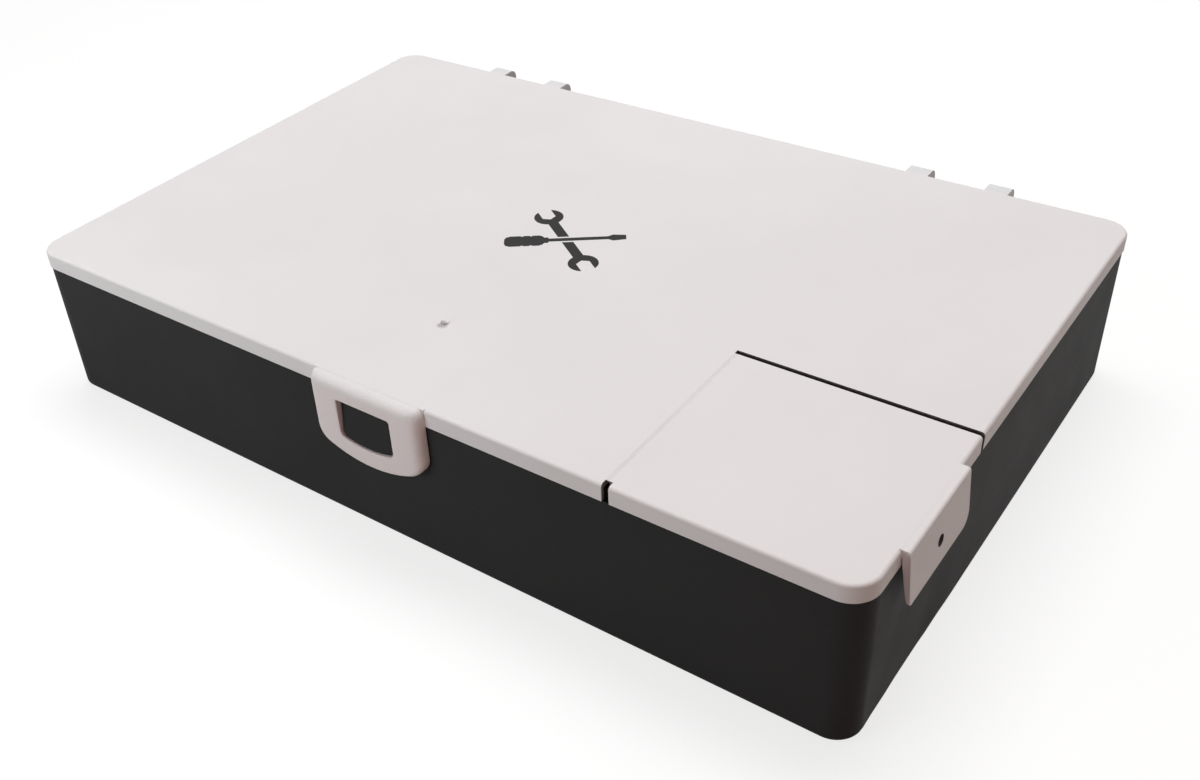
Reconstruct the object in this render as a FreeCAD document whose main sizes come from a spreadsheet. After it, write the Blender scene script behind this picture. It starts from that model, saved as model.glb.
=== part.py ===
import FreeCAD, Part
import math
import operator
import os
from types import SimpleNamespace

import Sketcher

# A flat plastic toolbox: a charcoal tub with a shallow off-white lid. The lid hooks over two hinge pins
# at the back, snaps shut with a loop at the front, and has a corner flap over a small bin.
# X runs along the front to the right, Y to the back and Z up. The origin is on the floor, under the
# middle of the box.

doc = FreeCAD.newDocument("toolbox")
sheet = doc.addObject("Spreadsheet::Sheet", "sizes")

# Driving dimensions in millimetres, with one angle in degrees and the slots as counts
SIZES = {
    # Lid
    "lid_width": 330,
    "lid_depth": 213,
    "box_height": 60,
    "lid_plate": 2.0,
    "skirt_height": 6.1,
    "skirt_wall": 1.4,
    "corner_radius": 9.1,
    "lid_edge_round": 1.2,
    "gate_mark_diameter": 3.0,
    "gate_mark_height": 0.6,
    "gate_mark_round": 0.4,
    "gate_mark_from_front": 40.7,
    "gate_mark_shift": -2.2,
    # Tub
    "tub_inset": 0.4,
    "tub_wall": 2.6,
    "tub_floor": 2.4,
    "tub_foot_round": 2.3,
    "rim_gap": 0.4,
    "rim_headroom": 0.6,
    "seat_gap": 0.1,
    "recess_radius": 33.5,
    "recess_depth": 0.6,
    "recess_bevel": 1.6,
    "recess_below_stud": 0.3,
    "recess_from_front": 38.05,
    # Latch loop and the catch inside it
    "latch_width": 45.5,
    "latch_thickness": 4.0,
    "latch_drop": 29.2,
    "latch_side_drop": 22.7,
    "latch_corner_round": 7.0,
    "latch_head_round": 3.0,
    "latch_side_round": 3.8,
    "latch_top_round": 3.4,
    "window_width": 22.0,
    "window_top_drop": 6.7,
    "window_drop": 22.4,
    "window_sag": 1.6,
    "window_top_round": 0.8,
    "window_foot_round": 2.5,
    "catch_gap": 0.4,
    "catch_proud_top": 0.6,
    "catch_proud_foot": 2.4,
    # Corner flap
    "flap_width": 78.0,
    "flap_depth": 74.0,
    "slot_width": 1.8,
    "notch_width": 2.4,
    "notch_depth": 2.5,
    "web_width": 1.2,
    "web_thickness": 0.4,
    "tab_width": 40.0,
    "tab_from_front": 39.5,
    "tab_drop": 18.3,
    "tab_thickness": 2.0,
    "tab_gap": 0.35,
    "tab_lean": 1.65,
    "tab_root": 2.5,
    "tab_corner_round": 4.7,
    "tab_front_corner_round": 1.2,
    "tab_top_round": 1.0,
    "tab_hole_diameter": 3.8,
    "tab_hole_drop": 10.6,
    "stud_gap": 0.3,
    "stud_reach": 2.9,
    "stud_round": 0.6,
    # Lid hinge
    "arm_width": 8.6,
    "arm_reach": 7.3,
    "arm_top_round": 3.5,
    "arm_spacing": 30.3,
    "arm_pair_spacing": 198.7,
    "hinge_shift": 1.85,
    "hinge_drop": 9.0,
    "eye_radius": 3.4,
    "eye_mouth": 2.5,
    "pin_diameter": 3.0,
    "pin_running_gap": 0.05,
    "pin_seat_gap": 0.03,
    "pin_overhang": 0.4,
    "pin_chamfer": 0.4,
    "lug_side_gap": 0.4,
    "lug_top_gap": 0.4,
    "lug_height": 10.5,
    "lug_tail_height": 4.5,
    "lid_opening_angle": 110,
    "lid_stop_gap": 0.08,
    # Inside the tub
    "bin_wall": 2.0,
    "bin_margin": 2.0,
    "bin_corner_round": 6.0,
    "wall_headroom": 1.2,
    "partition_wall": 1.8,
    "partition_from_front": 119.0,
    "partition_headroom": 5.0,
    "rail_depth": 2.4,
    "rail_back": 0.8,
    "rail_headroom": 9.0,
    "rail_end": 6.0,
    "slot_pitch": 41.0,
    "first_slot_from_left": 41.0,
    "rear_rail_slots": 3,
    "rear_last_slot_from_right": 60.0,
    "divider_wall": 1.6,
    "divider_side_gap": 0.25,
    "divider_end_gap": 0.4,
    "divider_headroom": 7.0,
    "divider_corner_round": 3.0,
    "divider_grip_width": 26.0,
    "divider_grip_depth": 6.0,
    "left_divider_slot": 1,
    "middle_divider_slot": 3,
    "right_divider_slot": 1,
}

NEAR = 0.001


class Size:
    """A number and the formula that ties it to the sheet."""

    def __init__(self, value, formula):
        self.value = value
        self.formula = formula

    def __add__(self, other):
        return joined(self, "+", other)

    def __sub__(self, other):
        return joined(self, "-", other)

    def __mul__(self, other):
        return joined(self, "*", other)

    def __rmul__(self, other):
        return joined(other, "*", self)

    def __truediv__(self, other):
        return joined(self, "/", other)

    def __neg__(self):
        return joined(-1, "*", self)


ARITHMETIC = {"+": operator.add, "-": operator.sub, "*": operator.mul, "/": operator.truediv}


def sized(number):
    return number if isinstance(number, Size) else Size(number, str(number))


def joined(left, sign, right):
    left, right = sized(left), sized(right)
    return Size(ARITHMETIC[sign](left.value, right.value), f"({left.formula} {sign} {right.formula})")


def root(size):
    return Size(math.sqrt(size.value), f"sqrt({size.formula})")


def whole(size):
    return Size(math.floor(size.value), f"floor({size.formula})")


def cosine(angle):
    return Size(math.cos(math.radians(angle.value)), f"cos({angle.formula})")


def sine(angle):
    return Size(math.sin(math.radians(angle.value)), f"sin({angle.formula})")


def fill_sheet():
    """Write the driving dimensions into the sheet and read them back as sizes."""
    for row, (name, number) in enumerate(SIZES.items(), start=1):
        sheet.set(f"A{row}", name)
        sheet.set(f"B{row}", str(number))
        sheet.setAlias(f"B{row}", name)
    doc.recompute()
    return SimpleNamespace(**{name: Size(getattr(sheet, name), f"sizes.{name}") for name in SIZES})


d = fill_sheet()
ZERO = Size(0, "0")
HALF_TURN = Size(180, "180")


# Helpers for sketches and features

def new_body(name):
    body = doc.addObject("PartDesign::Body", name)
    body.Label = name
    return body


def new_sketch(body, name, role, lift=ZERO):
    """A sketch on one of the body's own origin planes, lifted along the plane's normal."""
    plane = next(feature for feature in body.Origin.OriginFeatures if feature.Role == role)
    sketch = body.newObject("Sketcher::SketchObject", name)
    sketch.AttachmentSupport = [(plane, "")]
    sketch.MapMode = "FlatFace"
    sketch.AttachmentOffset = FreeCAD.Placement(FreeCAD.Vector(0, 0, lift.value), FreeCAD.Rotation())
    sketch.setExpression("AttachmentOffset.Base.z", lift.formula)
    return sketch


def hold(sketch, kind, elements, size):
    """Add a dimension to a sketch and bind it to its formula."""
    index = sketch.addConstraint(Sketcher.Constraint(kind, *elements, size.value))
    sketch.setExpression(f"Constraints[{index}]", size.formula)


def place_point(sketch, element, end, point):
    hold(sketch, "DistanceX", (-1, 1, element, end), point[0])
    hold(sketch, "DistanceY", (-1, 1, element, end), point[1])


def arc_between(start, finish, radius, turn):
    """The arc of under a half turn from start to finish, turning left (1) or right (-1)."""
    chord = finish - start
    rise = math.sqrt(radius * radius - chord.Length ** 2 / 4)
    centre = (start + finish) / 2 + FreeCAD.Vector(-chord.y, chord.x, 0).normalize() * rise * turn
    first, last = (start, finish) if turn > 0 else (finish, start)
    angles = [math.atan2(end.y - centre.y, end.x - centre.x) for end in (first, last)]
    circle = Part.Circle(centre, FreeCAD.Vector(0, 0, 1), radius)
    return Part.ArcOfCircle(circle, angles[0], angles[1])


def draw_outline(sketch, corners, bends=None):
    """A closed outline through the corners. bends gives the sides that are arcs, by the number of
    their first corner, as a radius and a turn: 1 to the left, -1 to the right."""
    bends = bends or {}
    points = [FreeCAD.Vector(corner[0].value, corner[1].value, 0) for corner in corners]
    ends = []
    for number, start in enumerate(points):
        finish = points[(number + 1) % len(points)]
        if number in bends:
            radius, turn = bends[number]
            element = sketch.addGeometry(arc_between(start, finish, radius.value, turn), False)
            hold(sketch, "Radius", (element,), radius)
            ends.append((element, 1, 2) if turn > 0 else (element, 2, 1))
        else:
            element = sketch.addGeometry(Part.LineSegment(start, finish), False)
            ends.append((element, 1, 2))
    for number, (element, first, last) in enumerate(ends):
        following, following_first, _ = ends[(number + 1) % len(ends)]
        sketch.addConstraint(Sketcher.Constraint("Coincident", element, last, following, following_first))
    for (element, first, _), corner in zip(ends, corners):
        place_point(sketch, element, first, corner)


def draw_box(sketch, low, high):
    draw_outline(sketch, [low, (high[0], low[1]), high, (low[0], high[1])])


def draw_rounded_box(sketch, low, high, radius):
    """A rectangle with four round corners, drawn counter-clockwise."""
    (left, front), (right, back) = low, high
    corners = [
        (left + radius, front), (right - radius, front),
        (right, front + radius), (right, back - radius),
        (right - radius, back), (left + radius, back),
        (left, back - radius), (left, front + radius),
    ]
    draw_outline(sketch, corners, {side: (radius, 1) for side in (1, 3, 5, 7)})


def draw_circle(sketch, centre, radius):
    middle = FreeCAD.Vector(centre[0].value, centre[1].value, 0)
    element = sketch.addGeometry(Part.Circle(middle, FreeCAD.Vector(0, 0, 1), radius.value), False)
    hold(sketch, "Radius", (element,), radius)
    place_point(sketch, element, 3, centre)


def add_pad(body, name, sketch, length, backward=False, both_ways=False):
    pad = body.newObject("PartDesign::Pad", name)
    pad.Profile = sketch
    pad.Length = length.value
    pad.setExpression("Length", length.formula)
    pad.Reversed = backward
    pad.Midplane = both_ways
    doc.recompute()
    return pad


def add_pocket(body, name, sketch, length, backward=False, both_ways=False):
    """Cut a sketch into the body, and check that it takes something away."""
    before = body.Shape.Volume
    pocket = body.newObject("PartDesign::Pocket", name)
    pocket.Profile = sketch
    pocket.Length = length.value
    pocket.setExpression("Length", length.formula)
    pocket.Reversed = backward
    pocket.Midplane = both_ways
    doc.recompute()
    if body.Shape.Volume >= before:
        raise ValueError(f"{body.Label}: {name} cuts nothing")
    return pocket


def add_round(body, name, wanted, radius, kind="PartDesign::Fillet"):
    """Round or chamfer the edges of the body that a test picks."""
    base = body.Tip
    edges = [f"Edge{number}" for number, edge in enumerate(base.Shape.Edges, start=1) if wanted(edge)]
    if not edges:
        raise ValueError(f"{body.Label}: {name} finds no edge")
    feature = body.newObject(kind, name)
    feature.Base = (base, edges)
    prop = "Radius" if kind.endswith("Fillet") else "Size"
    setattr(feature, prop, radius.value)
    feature.setExpression(prop, radius.formula)
    doc.recompute()
    return feature


def near(first, second):
    return abs(first - second) < NEAR


def lies_at_height(height):
    """A test for edges that lie level at one height."""
    def test(edge):
        box = edge.BoundBox
        return near(box.ZMin, height.value) and near(box.ZMax, height.value)
    return test


# Places that several pieces share

lid_right = d.lid_width / 2
lid_back = d.lid_depth / 2
lid_left = -lid_right
lid_front = -lid_back
lid_under = d.box_height - d.lid_plate
skirt_foot = d.box_height - d.skirt_height
tub_right = lid_right - d.tub_inset
tub_back = lid_back - d.tub_inset
tub_front = -tub_back
inner_right = tub_right - d.tub_wall
inner_back = tub_back - d.tub_wall
inner_left = -inner_right
inner_front = -inner_back
inner_radius = d.corner_radius - d.tub_inset - d.tub_wall
shoulder = skirt_foot - d.seat_gap
crease = lid_right - d.flap_width
web_left = crease - d.web_width / 2
web_right = crease + d.web_width / 2
flap_back = lid_front + d.flap_depth
slot_back = flap_back + d.slot_width
notch_back = lid_front + d.notch_depth
tab_middle = lid_front + d.tab_from_front
tab_front = tab_middle - d.tab_width / 2
tab_back = tab_middle + d.tab_width / 2
tab_hole_height = d.box_height - d.tab_hole_drop
tab_proud = d.tab_gap + d.tab_thickness
stud_radius = d.tab_hole_diameter / 2 - d.stud_gap
recess_centre_height = tab_hole_height - stud_radius - d.recess_below_stud - d.recess_radius
axis_back = lid_back + d.arm_reach - d.eye_radius
axis_height = d.box_height - d.hinge_drop
partition_front = lid_front + d.partition_from_front
partition_back = partition_front + d.partition_wall
divider_slot = d.divider_wall + 2 * d.divider_side_gap
rail_top = lid_under - d.rail_headroom
bin_inner_x = web_left - d.bin_margin
bin_outer_x = bin_inner_x - d.bin_wall
first_slot = inner_left + d.first_slot_from_left
rear_first_slot = inner_right - d.rear_last_slot_from_right - d.slot_pitch * (d.rear_rail_slots - 1)
rail_slots = whole((bin_outer_x - first_slot - d.rail_end) / d.slot_pitch) + 1


def build_tub_walls():
    """The tub's four walls, with the rim that the lid closes over and a finger recess under the tab."""
    body = new_body("tub_walls")
    outline = new_sketch(body, "tub_outline", "XY_Plane")
    draw_rounded_box(outline, (-tub_right, tub_front), (tub_right, tub_back), d.corner_radius - d.tub_inset)
    add_pad(body, "tub_block", outline, shoulder)
    add_round(body, "foot_round", lies_at_height(ZERO), d.tub_foot_round)
    rim_inset = d.skirt_wall + d.rim_gap
    rim_right, rim_back = lid_right - rim_inset, lid_back - rim_inset
    rim = new_sketch(body, "rim_outline", "XY_Plane", shoulder)
    draw_rounded_box(rim, (-rim_right, -rim_back), (rim_right, rim_back), d.corner_radius - rim_inset)
    add_pad(body, "rim", rim, lid_under - d.rim_headroom - shoulder)
    hollow = new_sketch(body, "hollow_outline", "XY_Plane")
    draw_rounded_box(hollow, (inner_left, inner_front), (inner_right, inner_back), inner_radius)
    add_pocket(body, "hollow", hollow, d.box_height, backward=True)
    recess = body.newObject("PartDesign::SubtractiveCone", "finger_recess")
    recess.setExpression("Radius1", (d.recess_radius - d.recess_bevel).formula)
    recess.setExpression("Radius2", (d.recess_radius + d.recess_bevel).formula)
    recess.setExpression("Height", (2 * d.recess_depth).formula)
    recess.Placement = FreeCAD.Placement(
        FreeCAD.Vector(0, 0, 0), FreeCAD.Rotation(FreeCAD.Vector(0, 1, 0), 90)
    )
    recess.setExpression("Placement.Base.x", (tub_right - d.recess_depth).formula)
    recess.setExpression("Placement.Base.y", (lid_front + d.recess_from_front).formula)
    recess.setExpression("Placement.Base.z", recess_centre_height.formula)
    doc.recompute()
    return body


def build_tub_floor():
    """The tub's floor, flush with the foot of the walls."""
    body = new_body("tub_floor")
    plan = new_sketch(body, "floor_plan", "XY_Plane")
    draw_rounded_box(plan, (inner_left, inner_front), (inner_right, inner_back), inner_radius)
    add_pad(body, "floor", plan, d.tub_floor)
    return body


def build_catch():
    """The wedge on the front wall that fills the loop's window. It stands proudest at its foot."""
    body = new_body("front_catch")
    half = d.window_width / 2 - d.catch_gap
    top = d.box_height - d.window_top_drop - d.catch_gap
    window_radius = sag_radius(d.window_width / 2, d.window_sag)
    radius = window_radius - d.catch_gap
    arc_middle = d.box_height - d.window_drop + window_radius
    side_foot = arc_middle - root(radius * radius - half * half)
    face = new_sketch(body, "catch_outline", "XZ_Plane", -tub_front)
    corners = [(-half, side_foot), (half, side_foot), (half, top), (-half, top)]
    draw_outline(face, corners, {0: (radius, 1)})
    add_pad(body, "catch_block", face, d.catch_proud_foot)
    add_round(body, "foot_corners", runs_along_y_below(side_foot), d.window_foot_round - d.catch_gap)
    foot = d.box_height - d.window_drop + d.catch_gap
    outer = tub_front - d.catch_proud_foot
    slope = new_sketch(body, "catch_slope", "YZ_Plane")
    draw_outline(slope, [(outer, foot), (tub_front - d.catch_proud_top, top), (outer, top)])
    add_pocket(body, "slope_cut", slope, d.window_width, both_ways=True)
    return body


def sag_radius(half, sag):
    """The radius of an arc from half its chord and how far it bows."""
    return (sag * sag + half * half) / (2 * sag)


def runs_along_y_below(height):
    """A test for straight edges along Y that lie no higher than a height."""
    def test(edge):
        box = edge.BoundBox
        level = near(box.XLength, 0) and near(box.ZLength, 0)
        return level and box.ZMax < height.value + NEAR
    return test


def build_stud():
    """The stud on the right wall that the tab's hole snaps over."""
    body = new_body("flap_stud")
    circle = new_sketch(body, "stud_outline", "YZ_Plane", tub_right)
    draw_circle(circle, (tab_middle, tab_hole_height), stud_radius)
    add_pad(body, "stud", circle, d.stud_reach)
    tip = (tub_right + d.stud_reach).value
    add_round(body, "stud_tip", lambda edge: near(edge.BoundBox.XMin, tip), d.stud_round)
    return body


def build_lug(name, middle):
    """A lug on the rear wall, between the arms of a pair. Its heel stops the open lid."""
    body = new_body(name)
    rise = skirt_foot - d.lug_top_gap - axis_height
    angle = HALF_TURN - d.lid_opening_angle
    face_distance = axis_back - lid_back - d.lid_stop_gap
    heel = axis_back + (face_distance - rise * sine(angle)) / cosine(angle)
    top = axis_height + rise
    side = new_sketch(body, "lug_outline", "YZ_Plane")
    draw_outline(side, [
        (tub_back, top - d.lug_height), (heel, top - d.lug_tail_height), (heel, top), (tub_back, top),
    ])
    width = d.arm_spacing - d.arm_width - 2 * d.lug_side_gap
    add_pad(body, "lug", side, width, both_ways=True)
    bore = new_sketch(body, "pin_bore", "YZ_Plane")
    draw_circle(bore, (axis_back, axis_height), d.pin_diameter / 2 + d.pin_seat_gap)
    add_pocket(body, "bore", bore, 2 * width, both_ways=True)
    body.setExpression("Placement.Base.x", middle.formula)
    return body


def build_pin(name, middle):
    """A pin through a lug, which carries one arm at each end."""
    body = new_body(name)
    circle = new_sketch(body, "pin_outline", "YZ_Plane")
    draw_circle(circle, (axis_back, axis_height), d.pin_diameter / 2)
    add_pad(body, "pin", circle, d.arm_spacing + d.arm_width + 2 * d.pin_overhang, both_ways=True)
    add_round(body, "pin_ends", is_flat_across_x, d.pin_chamfer, "PartDesign::Chamfer")
    body.setExpression("Placement.Base.x", middle.formula)
    return body


def is_flat_across_x(edge):
    return near(edge.BoundBox.XLength, 0)


def build_bin_wall():
    """The wall that shuts off the corner under the flap as a bin of its own."""
    body = new_body("corner_bin_wall")
    inner_x, outer_x = bin_inner_x, bin_outer_x
    inner_y = slot_back + d.bin_margin
    outer_y = inner_y + d.bin_wall
    outer_radius = d.bin_corner_round + d.bin_wall
    plan = new_sketch(body, "bin_plan", "XY_Plane", d.tub_floor)
    draw_outline(plan, [
        (inner_x, inner_front),
        (inner_x, inner_y - d.bin_corner_round), (inner_x + d.bin_corner_round, inner_y),
        (inner_right, inner_y), (inner_right, outer_y),
        (outer_x + outer_radius, outer_y), (outer_x, outer_y - outer_radius),
        (outer_x, inner_front),
    ], {1: (d.bin_corner_round, -1), 5: (outer_radius, 1)})
    add_pad(body, "bin_wall", plan, lid_under - d.wall_headroom - d.tub_floor)
    return body


def build_partition():
    """The long wall between the front bays and the rear bay."""
    body = new_body("long_partition")
    plan = new_sketch(body, "partition_plan", "XY_Plane", d.tub_floor)
    draw_box(plan, (inner_left, partition_front), (inner_right, partition_back))
    add_pad(body, "partition", plan, lid_under - d.partition_headroom - d.tub_floor)
    return body


def build_rail(name, wall, inward, first_slot, slots):
    """A strip on a wall with upright slots for the dividers. inward is 1 where the bay lies behind
    the wall, and -1 where it lies in front of it."""
    body = new_body(name)
    left = first_slot - d.rail_end
    right = first_slot + d.slot_pitch * (slots - 1) + d.rail_end
    plan = new_sketch(body, "rail_plan", "XY_Plane", d.tub_floor)
    face = wall + inward * d.rail_depth
    bottom = wall + inward * d.rail_back
    draw_box(plan, (left, wall if inward > 0 else face), (right, face if inward > 0 else wall))
    add_pad(body, "rail", plan, rail_top - d.tub_floor)
    beyond = face + inward * d.rail_back
    slot = new_sketch(body, "slot_plan", "XY_Plane", d.tub_floor)
    slot_left, slot_right = first_slot - divider_slot / 2, first_slot + divider_slot / 2
    low, high = (bottom, beyond) if inward > 0 else (beyond, bottom)
    draw_box(slot, (slot_left, low), (slot_right, high))
    cut = add_pocket(body, "slot", slot, d.box_height, backward=True)
    pattern = body.newObject("PartDesign::LinearPattern", "slots")
    pattern.Originals = [cut]
    pattern.Direction = (slot, ["H_Axis"])
    pattern.Mode = "Spacing"
    pattern.setExpression("Offset", d.slot_pitch.formula)
    pattern.setExpression("Occurrences", slots.formula)
    body.Tip = pattern
    doc.recompute()
    return body


def build_divider(name, front_wall, back_wall, across):
    """A lift-out divider that stands in a pair of rails, with a finger grip in its top edge."""
    body = new_body(name)
    front = front_wall + d.rail_back + d.divider_end_gap
    back = back_wall - d.rail_back - d.divider_end_gap
    top = lid_under - d.divider_headroom
    corner = d.divider_corner_round
    grip = sag_radius(d.divider_grip_width / 2, d.divider_grip_depth)
    middle = (front + back) / 2
    half_grip = d.divider_grip_width / 2
    side = new_sketch(body, "divider_outline", "YZ_Plane")
    draw_outline(side, [
        (front, d.tub_floor), (back, d.tub_floor), (back, top - corner), (back - corner, top),
        (middle + half_grip, top), (middle - half_grip, top), (front + corner, top), (front, top - corner),
    ], {2: (corner, 1), 4: (grip, -1), 6: (corner, 1)})
    add_pad(body, "divider", side, d.divider_wall, both_ways=True)
    body.setExpression("Placement.Base.x", across.formula)
    return body


def add_skirted_plate(body):
    """The lid's outer form: a plate with a skirt all round and a rounded top edge."""
    outline = new_sketch(body, "lid_outline", "XY_Plane", skirt_foot)
    draw_rounded_box(outline, (lid_left, lid_front), (lid_right, lid_back), d.corner_radius)
    add_pad(body, "lid_block", outline, d.skirt_height)
    add_round(body, "top_round", lies_at_height(d.box_height), d.lid_edge_round)
    under_right, under_back = lid_right - d.skirt_wall, lid_back - d.skirt_wall
    under = new_sketch(body, "under_outline", "XY_Plane", skirt_foot)
    draw_rounded_box(
        under, (-under_right, -under_back), (under_right, under_back), d.corner_radius - d.skirt_wall
    )
    add_pocket(body, "under_hollow", under, d.skirt_height - d.lid_plate, backward=True)


def fill_edge_square(body, name, low, high):
    """Fill the rounded top edge back to square where another piece carries on flush with the top."""
    plan = new_sketch(body, name + "_plan", "XY_Plane", lid_under)
    draw_box(plan, low, high)
    add_pad(body, name, plan, d.lid_plate)


def build_lid():
    """The off-white lid, with the corner cut out for the flap."""
    body = new_body("lid_panel")
    add_skirted_plate(body)
    inside = d.lid_edge_round + d.skirt_wall
    half_latch = d.latch_width / 2
    fill_edge_square(body, "latch_root", (-half_latch, lid_front), (half_latch, lid_front + inside))
    for number, middle in enumerate(arm_places(), start=1):
        left, right = middle - d.arm_width / 2, middle + d.arm_width / 2
        fill_edge_square(body, f"arm_root_{number}", (left, lid_back - inside), (right, lid_back))
    beyond_right, beyond_front = lid_right + d.skirt_wall, lid_front - d.skirt_wall
    cut_out = new_sketch(body, "flap_cut_plan", "XY_Plane", skirt_foot)
    draw_box(cut_out, (web_left, beyond_front), (beyond_right, slot_back))
    add_pocket(body, "flap_cut", cut_out, d.skirt_height, backward=True)
    mark = new_sketch(body, "gate_mark_plan", "XY_Plane", lid_under)
    mark_place = (d.gate_mark_shift, lid_front + d.gate_mark_from_front)
    draw_circle(mark, mark_place, d.gate_mark_diameter / 2)
    add_pad(body, "gate_mark", mark, d.lid_plate + d.gate_mark_height)
    mark_top = d.box_height + d.gate_mark_height
    add_round(body, "gate_mark_round", lies_at_height(mark_top), d.gate_mark_round)
    return body


def build_web():
    """The thin web that the flap folds about, flush with the top of the lid."""
    web = doc.addObject("Part::Box", "flap_hinge_web")
    web.Label = "flap_hinge_web"
    web.setExpression("Length", d.web_width.formula)
    web.setExpression("Width", (flap_back - notch_back).formula)
    web.setExpression("Height", d.web_thickness.formula)
    web.setExpression("Placement.Base.x", web_left.formula)
    web.setExpression("Placement.Base.y", notch_back.formula)
    web.setExpression("Placement.Base.z", (d.box_height - d.web_thickness).formula)
    return web


def build_flap():
    """The corner flap, cut from the same plate and skirt as the lid."""
    body = new_body("flap_panel")
    add_skirted_plate(body)
    inside = d.lid_edge_round + d.skirt_wall
    fill_edge_square(body, "tab_root", (lid_right - inside, tab_front), (lid_right, tab_back))
    beyond_left, beyond_right = lid_left - d.skirt_wall, lid_right + d.skirt_wall
    beyond_front, beyond_back = lid_front - d.skirt_wall, lid_back + d.skirt_wall
    rest = new_sketch(body, "rest_plan", "XY_Plane", skirt_foot)
    draw_outline(rest, [
        (beyond_left, beyond_front), (web_left + d.notch_width, beyond_front),
        (web_left + d.notch_width, notch_back), (web_right, notch_back), (web_right, flap_back),
        (beyond_right, flap_back), (beyond_right, beyond_back), (beyond_left, beyond_back),
    ])
    add_pocket(body, "rest_cut", rest, d.skirt_height, backward=True)
    return body


def build_tab():
    """The pull tab that hangs from the flap over the right wall, leaning out towards its foot."""
    body = new_body("flap_tab")
    top, foot = d.box_height, d.box_height - d.tab_drop
    face = lid_right + tab_proud
    foot_face = face + d.tab_lean
    inner_top = d.box_height - d.tab_root
    side = new_sketch(body, "tab_profile", "XZ_Plane", -tab_front)
    draw_outline(side, [
        (lid_right, top), (lid_right, inner_top), (face - d.tab_thickness, inner_top),
        (foot_face - d.tab_thickness, foot), (foot_face, foot), (face, top),
    ])
    add_pad(body, "tab", side, d.tab_width, backward=True)
    add_round(body, "top_round", lambda edge: runs_along_y_at(edge, face, top), d.tab_top_round)
    radius, front_radius = d.tab_corner_round, d.tab_front_corner_round
    corners = new_sketch(body, "corner_plan", "YZ_Plane", lid_right)
    draw_outline(corners, [
        (tab_front, foot), (tab_front + front_radius, foot), (tab_front, foot + front_radius),
    ], {1: (front_radius, -1)})
    draw_outline(corners, [(tab_back, foot), (tab_back, foot + radius), (tab_back - radius, foot)],
                 {1: (radius, -1)})
    reach = 2 * (tab_proud + d.tab_lean)
    add_pocket(body, "corner_cut", corners, reach, backward=True)
    hole = new_sketch(body, "hole_plan", "YZ_Plane", lid_right)
    draw_circle(hole, (tab_middle, tab_hole_height), d.tab_hole_diameter / 2)
    add_pocket(body, "hole", hole, reach, backward=True)
    return body


def runs_along_y_at(edge, across, height):
    box = edge.BoundBox
    return near(box.XMin, across.value) and near(box.XMax, across.value) and near(box.ZMin, height.value)


def arm_places():
    """The middles of the four hinge arms, from left to right."""
    places = []
    for pair in (-1, 1):
        for side in (-1, 1):
            places.append(d.hinge_shift + pair * d.arm_pair_spacing / 2 + side * d.arm_spacing / 2)
    return places


def build_arm(name, middle):
    """A hinge arm behind the lid, with an open eye that clips down over its pin."""
    body = new_body(name)
    end = lid_back + d.arm_reach
    eye_front = axis_back - d.eye_radius
    top, round_ = d.box_height, d.arm_top_round
    side = new_sketch(body, "arm_outline", "YZ_Plane")
    draw_outline(side, [
        (lid_back, top), (lid_back, skirt_foot), (eye_front, axis_height),
        (axis_back, axis_height - d.eye_radius), (end, axis_height), (end, top - round_), (end - round_, top),
    ], {2: (d.eye_radius, 1), 3: (d.eye_radius, 1), 5: (round_, 1)})
    add_pad(body, "arm", side, d.arm_width, both_ways=True)
    bore = new_sketch(body, "eye_bore", "YZ_Plane")
    draw_circle(bore, (axis_back, axis_height), d.pin_diameter / 2 + d.pin_running_gap)
    add_pocket(body, "eye", bore, 2 * d.arm_width, both_ways=True)
    mouth = new_sketch(body, "mouth_outline", "YZ_Plane")
    half = d.eye_mouth / 2
    draw_box(mouth, (axis_back - half, axis_height - 2 * d.eye_radius), (axis_back + half, axis_height))
    add_pocket(body, "mouth", mouth, 2 * d.arm_width, both_ways=True)
    body.setExpression("Placement.Base.x", middle.formula)
    return body


def build_latch():
    """The loop that hangs over the front wall and snaps under the catch."""
    body = new_body("latch_loop")
    half = d.latch_width / 2
    top = d.box_height
    side_foot = top - d.latch_side_drop
    outer_radius = sag_radius(half, d.latch_drop - d.latch_side_drop)
    face = new_sketch(body, "latch_outline", "XZ_Plane", -lid_front)
    corners = [(-half, side_foot), (half, side_foot), (half, top), (-half, top)]
    draw_outline(face, corners, {0: (outer_radius, 1)})
    add_pad(body, "latch_plate", face, d.latch_thickness)
    add_round(body, "foot_corners", runs_along_y_below(side_foot), d.latch_corner_round)
    add_round(body, "head_corners", corner_edges(half, top), d.latch_head_round)
    half_window = d.window_width / 2
    window_top = top - d.window_top_drop
    window_side_foot = top - d.window_drop + d.window_sag
    window_radius = sag_radius(half_window, d.window_sag)
    window = new_sketch(body, "window_outline", "XZ_Plane", -lid_front)
    draw_outline(window, [
        (-half_window, window_side_foot), (half_window, window_side_foot),
        (half_window, window_top), (-half_window, window_top),
    ], {0: (window_radius, 1)})
    add_pocket(body, "window", window, d.latch_thickness, backward=True)
    add_round(body, "window_foot", corner_edges(half_window, window_side_foot), d.window_foot_round)
    add_round(body, "window_head", corner_edges(half_window, window_top), d.window_top_round)
    cut_latch_side_rounds(body, half)
    cut_latch_top_round(body, top)
    return body


def corner_edges(half, height):
    """A test for a pair of corner edges through the plate, at one height and one distance from the
    middle."""
    def test(edge):
        box = edge.BoundBox
        through = near(box.XLength, 0) and near(box.ZLength, 0)
        return through and near(abs(box.XMin), half.value) and near(box.ZMin, height.value)
    return test


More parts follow.
